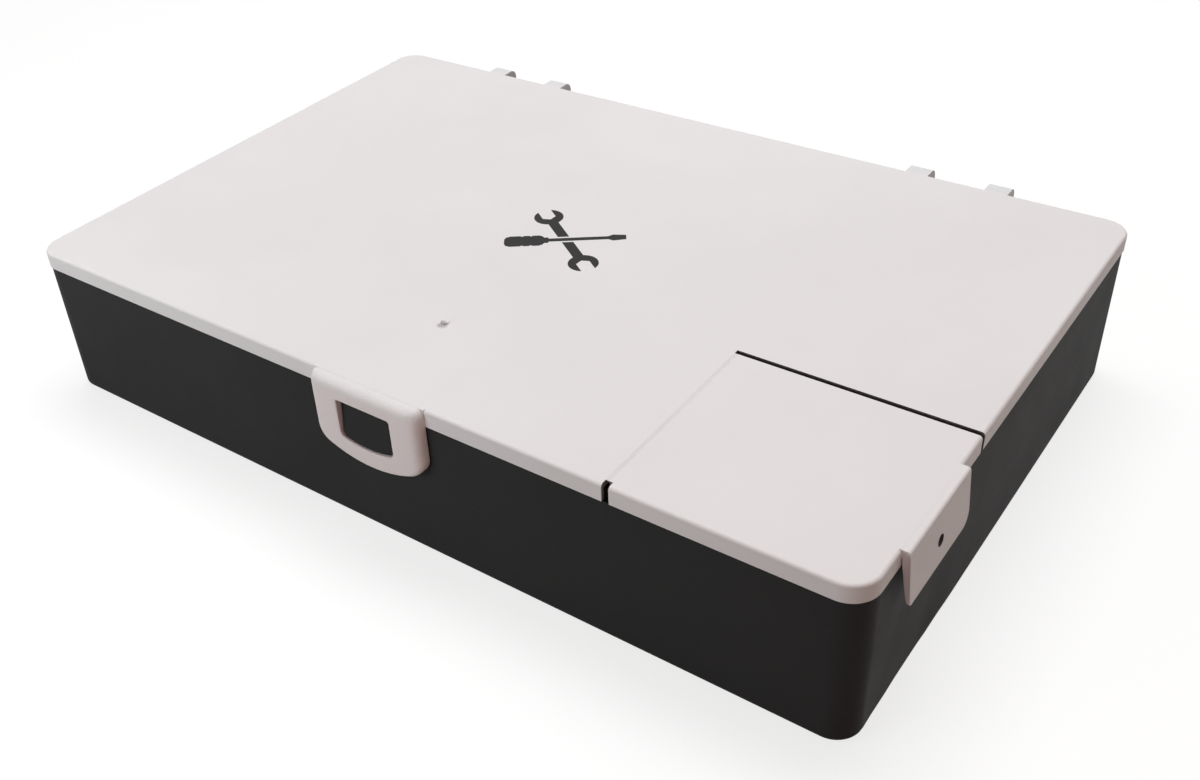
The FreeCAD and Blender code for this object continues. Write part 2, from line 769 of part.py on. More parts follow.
def cut_latch_side_rounds(body, half):
    """Round the front edges of the loop's two sides, as seen from above."""
    front = lid_front - d.latch_thickness
    radius = d.latch_side_round
    plan = new_sketch(body, "side_round_plan", "XY_Plane")
    draw_outline(plan, [(half - radius, front), (half, front), (half, front + radius)], {2: (radius, -1)})
    draw_outline(plan, [(-half, front + radius), (-half, front), (radius - half, front)], {2: (radius, -1)})
    add_pocket(body, "side_rounds", plan, d.box_height, backward=True)


def cut_latch_top_round(body, top):
    """Round the loop's top front edge, as seen from the side."""
    front = lid_front - d.latch_thickness
    radius = d.latch_top_round
    side = new_sketch(body, "top_round_side", "YZ_Plane")
    draw_outline(side, [(front, top - radius), (front, top), (front + radius, top)], {2: (radius, 1)})
    add_pocket(body, "top_round", side, 2 * d.latch_width, both_ways=True)


# The pieces

left_pair = d.hinge_shift - d.arm_pair_spacing / 2
right_pair = d.hinge_shift + d.arm_pair_spacing / 2
left_slot = first_slot + d.left_divider_slot * d.slot_pitch
middle_slot = first_slot + d.middle_divider_slot * d.slot_pitch
right_slot = rear_first_slot + d.right_divider_slot * d.slot_pitch

pieces = [
    build_tub_walls(),
    build_tub_floor(),
    build_catch(),
    build_stud(),
    build_lug("hinge_lug_left", left_pair),
    build_lug("hinge_lug_right", right_pair),
    build_pin("hinge_pin_left", left_pair),
    build_pin("hinge_pin_right", right_pair),
    build_bin_wall(),
    build_partition(),
    build_rail("rail_front", inner_front, 1, first_slot, rail_slots),
    build_rail("rail_partition_front", partition_front, -1, first_slot, rail_slots),
    build_rail("rail_partition_rear", partition_back, 1, rear_first_slot, d.rear_rail_slots),
    build_rail("rail_rear", inner_back, -1, rear_first_slot, d.rear_rail_slots),
    build_divider("divider_left", inner_front, partition_front, left_slot),
    build_divider("divider_middle", inner_front, partition_front, middle_slot),
    build_divider("divider_right", partition_back, inner_back, right_slot),
    build_lid(),
    build_web(),
    build_flap(),
    build_tab(),
    build_latch(),
]
pieces += [build_arm(f"hinge_arm_{number}", middle) for number, middle in enumerate(arm_places(), start=1)]


def check_and_write():
    """Check every feature and every piece, then write each piece to its own file."""
    doc.recompute()
    for feature in doc.Objects:
        if "Invalid" in feature.State or "Error" in feature.State:
            raise ValueError(f"{feature.Label} failed: {feature.State}")
    for piece in pieces:
        shape = piece.Shape
        if shape.isNull() or not shape.isValid():
            raise ValueError(f"{piece.Label} has no valid shape")
    os.makedirs("parts", exist_ok=True)
    for piece in pieces:
        shape = piece.Shape
        shape.exportStep(os.path.join("parts", piece.Label + ".step"))
        box = shape.BoundBox
        print(f"{piece.Label}: {len(shape.Solids)} solid, {shape.Volume:.1f} mm3, "
              f"{box.XLength:.2f} x {box.YLength:.2f} x {box.ZLength:.2f} mm")


check_and_write()
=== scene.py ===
# %% [markdown]
# # A flat toolbox with a hinged lid, a corner flap and a front latch
#
# The real box is a low tub moulded in charcoal plastic, under an ivory lid that turns on two
# clip hinges at the back. One corner of the lid is a flap of its own: it folds up along a thin
# crease in the plate, so that the small bin under it can be reached with the lid shut. A loop
# at the front hooks over a catch on the tub.
#
# The measured parts come in as a fixed frame, and this script gives them their looks. It adds
# the few things that the frame leaves plain, then sets the camera, the floor and the lamps.
# Everything is in metres, with the box standing on z = 0 and its front towards -y.

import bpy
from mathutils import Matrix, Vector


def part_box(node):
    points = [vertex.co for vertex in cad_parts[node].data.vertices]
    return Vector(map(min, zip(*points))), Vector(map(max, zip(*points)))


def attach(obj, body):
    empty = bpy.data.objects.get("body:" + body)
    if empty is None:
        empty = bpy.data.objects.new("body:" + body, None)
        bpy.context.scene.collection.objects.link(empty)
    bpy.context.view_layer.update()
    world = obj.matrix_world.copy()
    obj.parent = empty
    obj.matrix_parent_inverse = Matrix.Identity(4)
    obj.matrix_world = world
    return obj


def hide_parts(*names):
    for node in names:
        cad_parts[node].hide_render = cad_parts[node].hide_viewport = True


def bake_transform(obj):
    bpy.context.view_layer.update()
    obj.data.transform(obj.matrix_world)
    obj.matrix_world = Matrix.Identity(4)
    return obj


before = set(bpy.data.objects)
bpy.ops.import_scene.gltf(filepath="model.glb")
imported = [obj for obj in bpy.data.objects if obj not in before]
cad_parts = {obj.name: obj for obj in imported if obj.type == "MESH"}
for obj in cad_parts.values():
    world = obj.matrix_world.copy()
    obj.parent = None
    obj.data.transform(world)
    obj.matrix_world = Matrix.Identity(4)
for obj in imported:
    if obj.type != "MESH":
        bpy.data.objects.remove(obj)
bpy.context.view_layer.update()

# %% [markdown]
# ## Tools and units
#
# Blender counts in metres, but a moulding is easier to think of in millimetres. So the shapes
# below are written in millimetres, and MM makes them smaller on their way into Blender. First
# the sizes of a few measured parts are printed, because every added piece is fitted to them.

# %% Tools
import math

import bpy
import bmesh
from mathutils import Matrix, Vector

MM = 0.001


def box_mm(node):
    """The lowest and highest corner of a measured part, in millimetres."""
    low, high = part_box(node)
    return [round(v / MM, 2) for v in low], [round(v / MM, 2) for v in high]


for node in ("lid_panel", "flap_panel", "flap_hinge_web", "latch_loop", "tub_walls"):
    print(node, *box_mm(node))

# %% [markdown]
# ## The camera
#
# The photograph was taken from above the front right corner, from about half a metre away, so
# near edges look clearly longer than far ones. The place and the focal length were worked out
# from the box's own edges. The picture is a little off the lens's centre, which the camera's
# shift carries, and the shift is kept as small as that.

# %% Camera
PICTURE_WIDTH, PICTURE_HEIGHT = 1200, 780
FOCAL_PIXELS = 1323.5
LENS_CENTRE = (537.0, 388.3)
EYE = Vector((0.2469, -0.3322, 0.2947))
LOOK = Vector((-0.5051, 0.6323, -0.5874)).normalized()
RIGHT = Vector((0.8057, 0.5894, -0.0584))

right = (RIGHT - RIGHT.dot(LOOK) * LOOK).normalized()
up = right.cross(LOOK)
lens = bpy.data.cameras.new("photo_camera")
lens.sensor_fit = "HORIZONTAL"
lens.sensor_width = 36.0
lens.lens = FOCAL_PIXELS / PICTURE_WIDTH * lens.sensor_width
lens.shift_x = (PICTURE_WIDTH / 2 - LENS_CENTRE[0]) / PICTURE_WIDTH
lens.shift_y = (LENS_CENTRE[1] - PICTURE_HEIGHT / 2) / PICTURE_WIDTH
lens.clip_start = 0.01
camera = bpy.data.objects.new("photo_camera", lens)
turn = Matrix((right, up, -LOOK)).transposed().to_4x4()
camera.matrix_world = Matrix.Translation(EYE) @ turn
bpy.context.scene.collection.objects.link(camera)
bpy.context.scene.camera = camera
print("lens", round(lens.lens, 2), "mm, shift", round(lens.shift_x, 4), round(lens.shift_y, 4))

# %% [markdown]
# ## Wiring nodes with few words
#
# A material is a graph of nodes, and writing it out node by node would take pages. A few
# helpers keep it short. One adds a node with a label, one plugs a value or another node's
# output into a named socket, and the rest make one step each: arithmetic, a range, a distance
# or a mix of two colours. The last two start a node group and place it in a material.

# %% Node helpers
def add(tree, kind, label, **options):
    """A new node with a label that says what it is for."""
    node = tree.nodes.new("ShaderNode" + kind)
    node.label = label
    node.location = (220 * (len(tree.nodes) % 8), -260 * (len(tree.nodes) // 8))
    for name, value in options.items():
        setattr(node, name, value)
    return node


def feed(tree, socket, value):
    """Gives a socket its value: a link where the value is another node's output."""
    if isinstance(value, bpy.types.NodeSocket):
        tree.links.new(value, socket)
    else:
        socket.default_value = value


def plug(tree, node, **sockets):
    """Feeds sockets by name, with _ for a space."""
    for name, value in sockets.items():
        feed(tree, node.inputs[name.replace("_", " ")], value)
    return node


def calc(tree, label, operation, a, b=None, clamp=False):
    """One step of arithmetic on values that change over the surface."""
    node = add(tree, "Math", label, operation=operation, use_clamp=clamp)
    feed(tree, node.inputs[0], a)
    if b is not None:
        feed(tree, node.inputs[1], b)
    return node.outputs[0]


def between(tree, label, value, low, high, to_low=0.0, to_high=1.0):
    """Maps low...high to to_low...to_high, and cuts off what lies outside."""
    node = add(tree, "MapRange", label, clamp=True)
    plug(tree, node, Value=value, From_Min=low, From_Max=high, To_Min=to_low, To_Max=to_high)
    return node.outputs["Result"]


def distance(tree, label, place, centre):
    """How far a place is from a fixed point, in metres."""
    node = add(tree, "VectorMath", label, operation="DISTANCE")
    feed(tree, node.inputs[0], place)
    feed(tree, node.inputs[1], centre)
    return node.outputs["Value"]


def blend_colours(tree, label, share, first, second):
    """A colour that runs from first to second as share goes from 0 to 1."""
    node = add(tree, "Mix", label, data_type="RGBA", clamp_factor=True)
    for number, value in ((0, share), (6, first), (7, second)):
        feed(tree, node.inputs[number], value)
    return node.outputs[2]


def start_group(name, inputs, outputs):
    """An empty node group. inputs: name -> default, or None for a place. outputs: name -> type."""
    tree = bpy.data.node_groups.new(name, "ShaderNodeTree")
    for socket_name, default in inputs.items():
        kind = "NodeSocketVector" if default is None else "NodeSocketFloat"
        socket = tree.interface.new_socket(socket_name, in_out="INPUT", socket_type=kind)
        if default is not None:
            socket.default_value = default
    for socket_name, kind in outputs.items():
        tree.interface.new_socket(socket_name, in_out="OUTPUT", socket_type="NodeSocket" + kind)
    entry = tree.nodes.new("NodeGroupInput")
    way_out = tree.nodes.new("NodeGroupOutput")
    return tree, entry.outputs, way_out.inputs


def use_group(tree, group, **sockets):
    """Places a node group in a material and fills its inputs."""
    node = add(tree, "Group", group.name, node_tree=group)
    plug(tree, node, **sockets)
    return node.outputs


# %% [markdown]
# ## Moulded grain
#
# The steel mould of such a box is spark-eroded or lightly etched, and every part takes that
# texture: closely packed soft pits, a few tenths of a millimetre wide. Real pits could be
# displaced geometry, but they are far smaller than a pixel here, so a height for the Bump node
# is enough. Fine noise gives the roughness of the steel and Voronoi cells give the pits.

# %% Shared group: moulded grain
moulded_grain, given, result = start_group(
    "moulded_grain", {"Place": None, "Grain per metre": 2000.0, "Pits": 0.4},
    {"Height": "Float", "Gloss change": "Float"})
fine = plug(moulded_grain, add(moulded_grain, "TexNoise", "steel roughness"),
            Vector=given["Place"], Scale=given["Grain per metre"], Detail=3.0, Roughness=0.55)
cells = plug(moulded_grain, add(moulded_grain, "TexVoronoi", "etched pits", feature="SMOOTH_F1"),
             Vector=given["Place"], Scale=given["Grain per metre"], Smoothness=0.6)
pit_share = calc(moulded_grain, "pits times share", "MULTIPLY",
                 cells.outputs["Distance"], given["Pits"])
grain_height = calc(moulded_grain, "noise and pits", "ADD", fine.outputs[0], pit_share)
moulded_grain.links.new(grain_height, result["Height"])
patches = plug(moulded_grain, add(moulded_grain, "TexNoise", "polish of the steel"),
               Vector=given["Place"], Scale=55.0, Detail=4.0, Roughness=0.6)
moulded_grain.links.new(between(moulded_grain, "even out", patches.outputs[0], 0.3, 0.7),
                        result["Gloss change"])
print("group", moulded_grain.name, "has", len(moulded_grain.nodes), "nodes")

# %% [markdown]
# ## Colour drift
#
# Coloured pellets never melt into a perfectly even plastic. Wide, faint clouds show where the
# melt slowed down, so no large surface has one flat colour. Two sizes of noise are enough: one
# as wide as a hand and one as wide as a thumb.

# %% Shared group: colour drift
colour_drift, given, result = start_group("colour_drift", {"Place": None}, {"Drift": "Float"})
wide = plug(colour_drift, add(colour_drift, "TexNoise", "clouds as wide as a hand"),
            Vector=given["Place"], Scale=11.0, Detail=2.0, Roughness=0.5, Distortion=0.4)
narrow = plug(colour_drift, add(colour_drift, "TexNoise", "clouds as wide as a thumb"),
              Vector=given["Place"], Scale=60.0, Detail=3.0, Roughness=0.5)
narrow_share = calc(colour_drift, "a third of the narrow clouds", "MULTIPLY",
                    narrow.outputs[0], 0.33)
clouds = calc(colour_drift, "wide and narrow", "ADD", wide.outputs[0], narrow_share)
colour_drift.links.new(between(colour_drift, "even out", clouds, 0.42, 0.92), result["Drift"])
print("group", colour_drift.name, "has", len(colour_drift.nodes), "nodes")

# %% [markdown]
# ## Handling marks
#
# A box that slides in and out of a shelf gets short hair scratches, in patches and in a few
# directions. They hardly change the colour, but they scatter the light, so they mostly go to
# the roughness. Noise that is squeezed across one direction gives long thin streaks, and a
# second, wide noise keeps them to patches.

# %% Shared group: handling marks
handling_marks, given, result = start_group(
    "handling_marks", {"Place": None, "Reach": 0.5}, {"Marks": "Float"})
SCRATCH_TURNS = (12.0, 68.0, 131.0)
streaks = None
for turn_degrees in SCRATCH_TURNS:
    along = plug(handling_marks, add(handling_marks, "Mapping", "turn and squeeze"),
                 Vector=given["Place"], Rotation=(0.35, 0.2, math.radians(turn_degrees)),
                 Scale=(26.0, 1500.0, 300.0))
    hair = plug(handling_marks, add(handling_marks, "TexNoise", "hair scratches"),
                Vector=along.outputs[0], Scale=1.0, Detail=1.0, Roughness=0.4)
    line = between(handling_marks, "thin lines", hair.outputs[0], 0.70, 0.76)
    streaks = line if streaks is None else calc(
        handling_marks, "any direction", "MAXIMUM", streaks, line)
patches = plug(handling_marks, add(handling_marks, "TexNoise", "where it was rubbed"),
               Vector=given["Place"], Scale=18.0, Detail=2.0, Roughness=0.5)
rubbed = between(handling_marks, "patches", patches.outputs[0], 0.45, 0.65)
rubbed = calc(handling_marks, "times reach", "MULTIPLY", rubbed, given["Reach"])
handling_marks.links.new(
    calc(handling_marks, "marks in patches", "MULTIPLY", streaks, rubbed), result["Marks"])
print("group", handling_marks.name, "has", len(handling_marks.nodes), "nodes")

# %% [markdown]
# ## Rubbed edges
#
# No moulded edge is sharp, and the proud ones are polished by hands and shelves. The Bevel node
# looks around each point for a nearby edge and gives a normal that rolls over it, which draws
# the thin light line of a real edge. Where that normal leaves the true one, the surface is
# near an edge, and that difference is the mask for the rubbing.

# %% Shared group: rubbed edges
rubbed_edges, given, result = start_group(
    "rubbed_edges", {"Place": None, "Radius": 0.0004, "Wear": 0.5},
    {"Rubbed": "Float", "Normal": "Vector"})
rolled = plug(rubbed_edges, add(rubbed_edges, "Bevel", "roll over the edge", samples=4),
              Radius=given["Radius"])
true_normal = add(rubbed_edges, "NewGeometry", "true normal")
agree = add(rubbed_edges, "VectorMath", "how far they agree", operation="DOT_PRODUCT")
rubbed_edges.links.new(rolled.outputs[0], agree.inputs[0])
rubbed_edges.links.new(true_normal.outputs["Normal"], agree.inputs[1])
near_edge = between(rubbed_edges, "near an edge", agree.outputs["Value"], 0.995, 0.90)
broken = plug(rubbed_edges, add(rubbed_edges, "TexNoise", "not all the way along"),
              Vector=given["Place"], Scale=140.0, Detail=3.0, Roughness=0.6)
in_places = between(rubbed_edges, "in places", broken.outputs[0], 0.38, 0.62)
worn = calc(rubbed_edges, "edge in places", "MULTIPLY", near_edge, in_places)
rubbed_edges.links.new(calc(rubbed_edges, "times wear", "MULTIPLY", worn, given["Wear"]),
                       result["Rubbed"])
rubbed_edges.links.new(rolled.outputs[0], result["Normal"])
print("group", rubbed_edges.name, "has", len(rubbed_edges.nodes), "nodes")

# %% [markdown]
# ## Settled dust
#
# Dust lies where a surface faces up: on the floors of the bays, on the rails and on the lid. It
# shows on the charcoal parts only. The mask is the upward part of the surface's own normal,
# broken up by noise into a film and separate specks.

# %% Shared group: settled dust
settled_dust, given, result = start_group(
    "settled_dust", {"Place": None, "Facing": None, "Film": 0.3}, {"Dust": "Float"})
upward = add(settled_dust, "SeparateXYZ", "upward part")
settled_dust.links.new(given["Facing"], upward.inputs[0])
flat_up = between(settled_dust, "faces up", upward.outputs["Z"], 0.6, 0.95)
film = plug(settled_dust, add(settled_dust, "TexNoise", "film of dust"),
            Vector=given["Place"], Scale=35.0, Detail=5.0, Roughness=0.65)
thin_film = between(settled_dust, "thin film", film.outputs[0], 0.35, 0.75)
specks = plug(settled_dust, add(settled_dust, "TexVoronoi", "specks"),
              Vector=given["Place"], Scale=260.0, Randomness=1.0)
dots = between(settled_dust, "small dots", specks.outputs["Distance"], 0.13, 0.06, 0.0, 0.8)
either = calc(settled_dust, "film or speck", "MAXIMUM", thin_film, dots)
lying = calc(settled_dust, "only where it can lie", "MULTIPLY", either, flat_up)
settled_dust.links.new(calc(settled_dust, "times film", "MULTIPLY", lying, given["Film"]),
                       result["Dust"])
print("group", settled_dust.name, "has", len(settled_dust.nodes), "nodes")

# %% [markdown]
# ## Painted shade in cuts and gaps
#
# Two cuts free the corner flap from the lid: a slot 1.8 mm wide along its back and a notch at
# the front end of its crease. Their walls lie deep in shade, and that shade is painted: they are
# darkened almost to black, and so are the walls of the latch's window and of the tab's hole. The
# mask asks two things of a point: does it lie in one of these places, and is it shut in? The
# Ambient Occlusion node answers the second, so that the walls turn pale again when the flap or
# the latch swings open.

# %% Shared group: painted shade in cuts
# Places are in metres: the middle of a cut or gap, and how far it reaches from there.
SLOT_MIDDLE, SLOT_REACH, SLOT_LEFT = -0.0316, 0.0016, 0.0855
NOTCH_MIDDLE, NOTCH_REACH, NOTCH_FRONT, NOTCH_BACK = 0.0876, 0.0016, -0.1065, -0.1061
NOTCH_END, FADE_OUT = -0.1030, 0.0005
WINDOW_REACH, WINDOW_FRONT, WINDOW_BACK = 0.0160, -0.1102, -0.1092
WINDOW_UP, WINDOW_REACH_UP = 0.0455, 0.0115
HOLE_MIDDLE, HOLE_RIM, HOLE_FULL = (0.1672, -0.0670, 0.0494), 0.00240, 0.00225
GAP_REACH, OPEN_FROM, SHUT_FROM = 0.0035, 0.86, 0.70

painted_gap_shade, given, result = start_group(
    "painted_gap_shade", {"Place": None, "Depth": 0.9}, {"Shut in": "Float"})
part_of = add(painted_gap_shade, "SeparateXYZ", "across, along, up")
painted_gap_shade.links.new(given["Place"], part_of.inputs[0])
across, along, height = part_of.outputs


def near_line(value, middle, reach, label):
    """1 on a line and 0 from its reach on."""
    away = calc(painted_gap_shade, label, "ABSOLUTE", calc(painted_gap_shade, label, "SUBTRACT", value, middle))
    return between(painted_gap_shade, label, away, reach, 0.7 * reach)


def both(label, first, second):
    """1 only where both masks are 1."""
    return calc(painted_gap_shade, label, "MULTIPLY", first, second)


in_slot = both("in the slot",
               near_line(along, SLOT_MIDDLE, SLOT_REACH, "beside the slot"),
               between(painted_gap_shade, "right of its end", across, SLOT_LEFT, SLOT_LEFT + FADE_OUT))
in_notch = both("in the notch",
                near_line(across, NOTCH_MIDDLE, NOTCH_REACH, "beside the notch"),
                between(painted_gap_shade, "deeper than its mouth", along, NOTCH_FRONT, NOTCH_BACK))
in_notch = both("in front of the slot", in_notch,
                between(painted_gap_shade, "short notch", along, NOTCH_END, NOTCH_END - FADE_OUT))
in_window = both("in the latch window",
                 near_line(across, 0.0, WINDOW_REACH, "beside the window"),
                 between(painted_gap_shade, "behind its face", along, WINDOW_FRONT, WINDOW_BACK))
in_window = both("at its height", in_window,
                 near_line(height, WINDOW_UP, WINDOW_REACH_UP, "over or under it"))
from_hole = distance(painted_gap_shade, "distance to the tab's hole", given["Place"], HOLE_MIDDLE)
in_hole = between(painted_gap_shade, "in the tab's hole", from_hole, HOLE_RIM, HOLE_FULL)
in_cut = in_slot
for other in (in_notch, in_window, in_hole):
    in_cut = calc(painted_gap_shade, "in any of them", "MAXIMUM", in_cut, other)

openness = plug(painted_gap_shade, add(painted_gap_shade, "AmbientOcclusion", "how open it is", samples=8),
                Distance=GAP_REACH)
shut = both("shut in, in a cut",
            between(painted_gap_shade, "shut in", openness.outputs["AO"], OPEN_FROM, SHUT_FROM), in_cut)
painted_gap_shade.links.new(both("times depth", shut, given["Depth"]), result["Shut in"])
print("group", painted_gap_shade.name, "has", len(painted_gap_shade.nodes), "nodes")

# %% [markdown]
# ## Painted shadow of the gate nub
#
# The melt entered the lid at its middle front, and a nub is left where the gate was broken off.
# Its shadow on the lid is painted: a dark patch round a point just in front of the nub. Only
# the lid has this, so it is a small graph in the lid's own material: the distance to that
# point, broken up by noise.

# %% Mask: painted shadow of the gate nub
# Painted shadow of the gate nub: outer and full radius, ragged rim, strength and colour.
NUB_SHADOW_RIM, NUB_SHADOW_FULL, NUB_SHADOW_WOBBLE, NUB_SHADOW_DEPTH = 0.0022, 0.0011, 0.0003, 0.75
NUB_SHADOW_COLOUR = (0.33, 0.31, 0.31, 1)


def near_nub_shadow(tree, place, centre):
    """Full at the middle of the painted shadow, fading out over its radius of about 2 mm."""
    ragged = plug(tree, add(tree, "TexNoise", "ragged rim"), Vector=place, Scale=900.0,
                  Detail=2.0, Roughness=0.5)
    wobble = between(tree, "in and out", ragged.outputs[0], 0.3, 0.7,
                     -NUB_SHADOW_WOBBLE, NUB_SHADOW_WOBBLE)
    away = calc(tree, "uneven distance", "ADD",
                distance(tree, "distance to the bruise", place, centre), wobble)
    return between(tree, "inside the bruise", away, NUB_SHADOW_RIM, NUB_SHADOW_FULL,
                   0.0, NUB_SHADOW_DEPTH)


print("bruise of", 2 * NUB_SHADOW_RIM / MM, "mm across")


# %% [markdown]
# ## Moulded plastic
#
# Lid, tub and dividers are all moulded plastic, and differ in colour, grain and gloss. One
# function builds the material from the shared groups, and each finish gives it its own
# numbers. The shader stays in the material, and what is the same all over is set on the
# shader's own sockets. Every finish also gets painted shade in the cuts and gaps. Two extras
# serve one part each: a painted shadow just in front of the lid's gate nub, and painted warm
# light, a slightly rosier colour low on a part.

# %% Material: moulded plastic
SCRATCH_COLOUR, SCRATCH_MATT, EDGE_POLISH, GLOSS_SPREAD = 0.35, 0.2, 0.12, 0.03
# Painted warm light: the latch loop turns rosier from this height down.
WARM_LIGHT_TOP, WARM_LIGHT_FULL, WARM_LIGHT_DEPTH = 0.0590, 0.0550, 0.85
DUST_COLOUR = (0.30, 0.28, 0.26, 1)
# Painted shade: the near-black colour that the walls of shut-in cuts and gaps are darkened to.
GAP_SHADE_COLOUR = (0.010, 0.0095, 0.0095, 1)


def moulded_plastic(name, deep, pale, rubbed_to, grain_per_metre, grain_depth, gloss,
                    reach, wear, dust, specular=0.5, pits=0.4, edge_radius=0.0004,
                    bruise=None, painted_warm_light=None):
    """A moulded finish. deep and pale are the ends of the colour drift, gloss is roughness."""
    material = bpy.data.materials.new(name)
    material.use_nodes = True
    tree = material.node_tree
    shader = tree.nodes["Principled BSDF"]
    where = add(tree, "TexCoord", "place on the part")
    place = where.outputs["Object"]
    grain = use_group(tree, moulded_grain, Place=place, Grain_per_metre=grain_per_metre,
                      Pits=pits)
    drift = use_group(tree, colour_drift, Place=place)["Drift"]
    marks = use_group(tree, handling_marks, Place=place, Reach=reach)["Marks"]
    edges = use_group(tree, rubbed_edges, Place=place, Radius=edge_radius, Wear=wear)
    lying = use_group(tree, settled_dust, Place=place, Facing=where.outputs["Normal"],
                      Film=dust)["Dust"]

    colour = blend_colours(tree, "melt clouds", drift, deep, pale)
    colour = blend_colours(tree, "scratched", calc(tree, "faint", "MULTIPLY",
                                                   marks, SCRATCH_COLOUR), colour, rubbed_to)
    colour = blend_colours(tree, "rubbed edge", edges["Rubbed"], colour, rubbed_to)
    colour = blend_colours(tree, "dusty", lying, colour, DUST_COLOUR)
    # Painted shade: cuts and gaps that are shut in turn almost black.
    cut = use_group(tree, painted_gap_shade, Place=place)["Shut in"]
    colour = blend_colours(tree, "painted shade in the cuts", cut, colour, GAP_SHADE_COLOUR)
    # Painted warm light: a rosier colour low on the part.
    if painted_warm_light is not None:
        height = add(tree, "SeparateXYZ", "height")
        tree.links.new(place, height.inputs[0])
        low = between(tree, "low on the loop", height.outputs["Z"], WARM_LIGHT_TOP, WARM_LIGHT_FULL,
                      0.0, WARM_LIGHT_DEPTH)
        colour = blend_colours(tree, "painted warm light low down", low, colour, painted_warm_light)
    # Painted shadow: a dark patch just in front of the lid's gate nub.
    if bruise is not None:
        colour = blend_colours(tree, "painted shadow of the nub", near_nub_shadow(tree, place, bruise),
                               colour, NUB_SHADOW_COLOUR)
    rough = between(tree, "gloss in patches", grain["Gloss change"], 0.0, 1.0,
                    gloss - GLOSS_SPREAD, gloss + GLOSS_SPREAD)
    rough = calc(tree, "scratches are matt", "ADD", rough,
                 calc(tree, "share", "MULTIPLY", marks, SCRATCH_MATT))
    rough = calc(tree, "edges are polished", "SUBTRACT", rough,
                 calc(tree, "share", "MULTIPLY", edges["Rubbed"], EDGE_POLISH))
    rough = calc(tree, "dust is matt", "ADD", rough, lying, clamp=True)
    bump = plug(tree, add(tree, "Bump", "grain"), Height=grain["Height"],
                Distance=grain_depth, Strength=1.0, Normal=edges["Normal"])
    plug(tree, shader, Base_Color=colour, Roughness=rough, Normal=bump.outputs[0],
         Specular_IOR_Level=specular, IOR=1.5)
    print("finish", name, "has", len(tree.nodes), "nodes")
    return material


# %% [markdown]
# ## Ivory finishes
#
# The lid and its flap, arms and latch are one ivory plastic. One material could serve them
# all, but the real parts differ a little. The loop of the latch took a coarser grain from its
# part of the mould and turns rosier low down, which is painted warm light. The arms are a touch
# cooler. The crease is finer and darker, and its darker ivory is painted shade along the crease.

# %% Ivory materials
ivory_lid = moulded_plastic(
    "ivory_lid", deep=(0.760, 0.730, 0.738, 1), pale=(0.800, 0.770, 0.778, 1),
    rubbed_to=(0.83, 0.81, 0.81, 1), grain_per_metre=1500, grain_depth=0.00003, gloss=0.46,
    reach=0.35, wear=0.35, dust=0.0, specular=0.15, edge_radius=0.00012,
    # Centre of the painted nub shadow, just in front of the nub.
    bruise=(-0.0020, -0.0675, 0.0602))
ivory_clips = moulded_plastic(
    "ivory_clips", deep=(0.715, 0.714, 0.722, 1), pale=(0.758, 0.758, 0.766, 1),
    rubbed_to=(0.83, 0.81, 0.81, 1), grain_per_metre=1500, grain_depth=0.00003, gloss=0.48,
    reach=0.3, wear=0.5, dust=0.0, specular=0.15, edge_radius=0.00012)
ivory_latch_painted_warm = moulded_plastic(
    "ivory_latch_painted_warm", deep=(0.740, 0.716, 0.722, 1), pale=(0.800, 0.774, 0.780, 1),
    rubbed_to=(0.83, 0.80, 0.80, 1), grain_per_metre=1150, grain_depth=0.00009, gloss=0.5,
    reach=0.3, wear=0.5, dust=0.0, specular=0.15, pits=0.8, edge_radius=0.00012,
    # Painted warm light: the rosier colour low on the loop.
    painted_warm_light=(0.815, 0.722, 0.726, 1))
# Painted shade: the crease's darker ivory draws the line where the plate is pressed in.
ivory_crease_painted_shade = moulded_plastic(
    "ivory_crease_painted_shade", deep=(0.690, 0.655, 0.660, 1), pale=(0.760, 0.728, 0.735, 1),
    rubbed_to=(0.85, 0.84, 0.84, 1), grain_per_metre=1700, grain_depth=0.00002, gloss=0.40,
    reach=0.2, wear=0.2, dust=0.0, specular=0.15, edge_radius=0.00008)

# %% [markdown]
# ## Dark finishes
#
# The tub is charcoal, so dark that its grain and edges show only where light grazes them, and
# some dust lies on it. It has almost no shine of its own. The dividers are a lighter grey
# sheet, as loose parts often are. The print is a thin film of ink, smoother than the plastic.

# %% Dark materials
charcoal_tub = moulded_plastic(
    "charcoal_tub", deep=(0.0298, 0.0298, 0.0301, 1), pale=(0.0368, 0.0368, 0.0372, 1),
    rubbed_to=(0.050, 0.050, 0.051, 1), grain_per_metre=1500, grain_depth=0.00003, gloss=0.52,
    reach=0.45, wear=0.3, dust=0.06, specular=0.02, edge_radius=0.0003)
grey_divider = moulded_plastic(
    "grey_divider", deep=(0.100, 0.101, 0.104, 1), pale=(0.122, 0.123, 0.126, 1),
    rubbed_to=(0.2, 0.2, 0.2, 1), grain_per_metre=1300, grain_depth=0.00003, gloss=0.5,
    reach=0.5, wear=0.3, dust=0.05)
black_print = moulded_plastic(
    "black_print", deep=(0.0150, 0.0150, 0.0155, 1), pale=(0.0190, 0.0190, 0.0195, 1),
    rubbed_to=(0.06, 0.06, 0.06, 1), grain_per_metre=2500, grain_depth=0.00001, gloss=0.38,
    reach=0.6, wear=0.3, dust=0.03, specular=0.1, edge_radius=0.00008)

# %% [markdown]
# ## A finish for every measured part
#
# The measured parts come with plain colours, one for each plastic. Each is swapped for the
# finish of the same plastic, and the arms then get their own.

# %% Finishes on the parts
FINISH_OF_SLOT = {"ivory_plastic": ivory_lid, "charcoal_plastic": charcoal_tub,
                  "divider_plastic": grey_divider}
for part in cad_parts.values():
    for old in part.material_slots:
        old.material = FINISH_OF_SLOT[old.material.name]
for number in (1, 2, 3, 4):
    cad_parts[f"hinge_arm_{number}"].material_slots[0].material = ivory_clips
print("finished parts:", len(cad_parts))

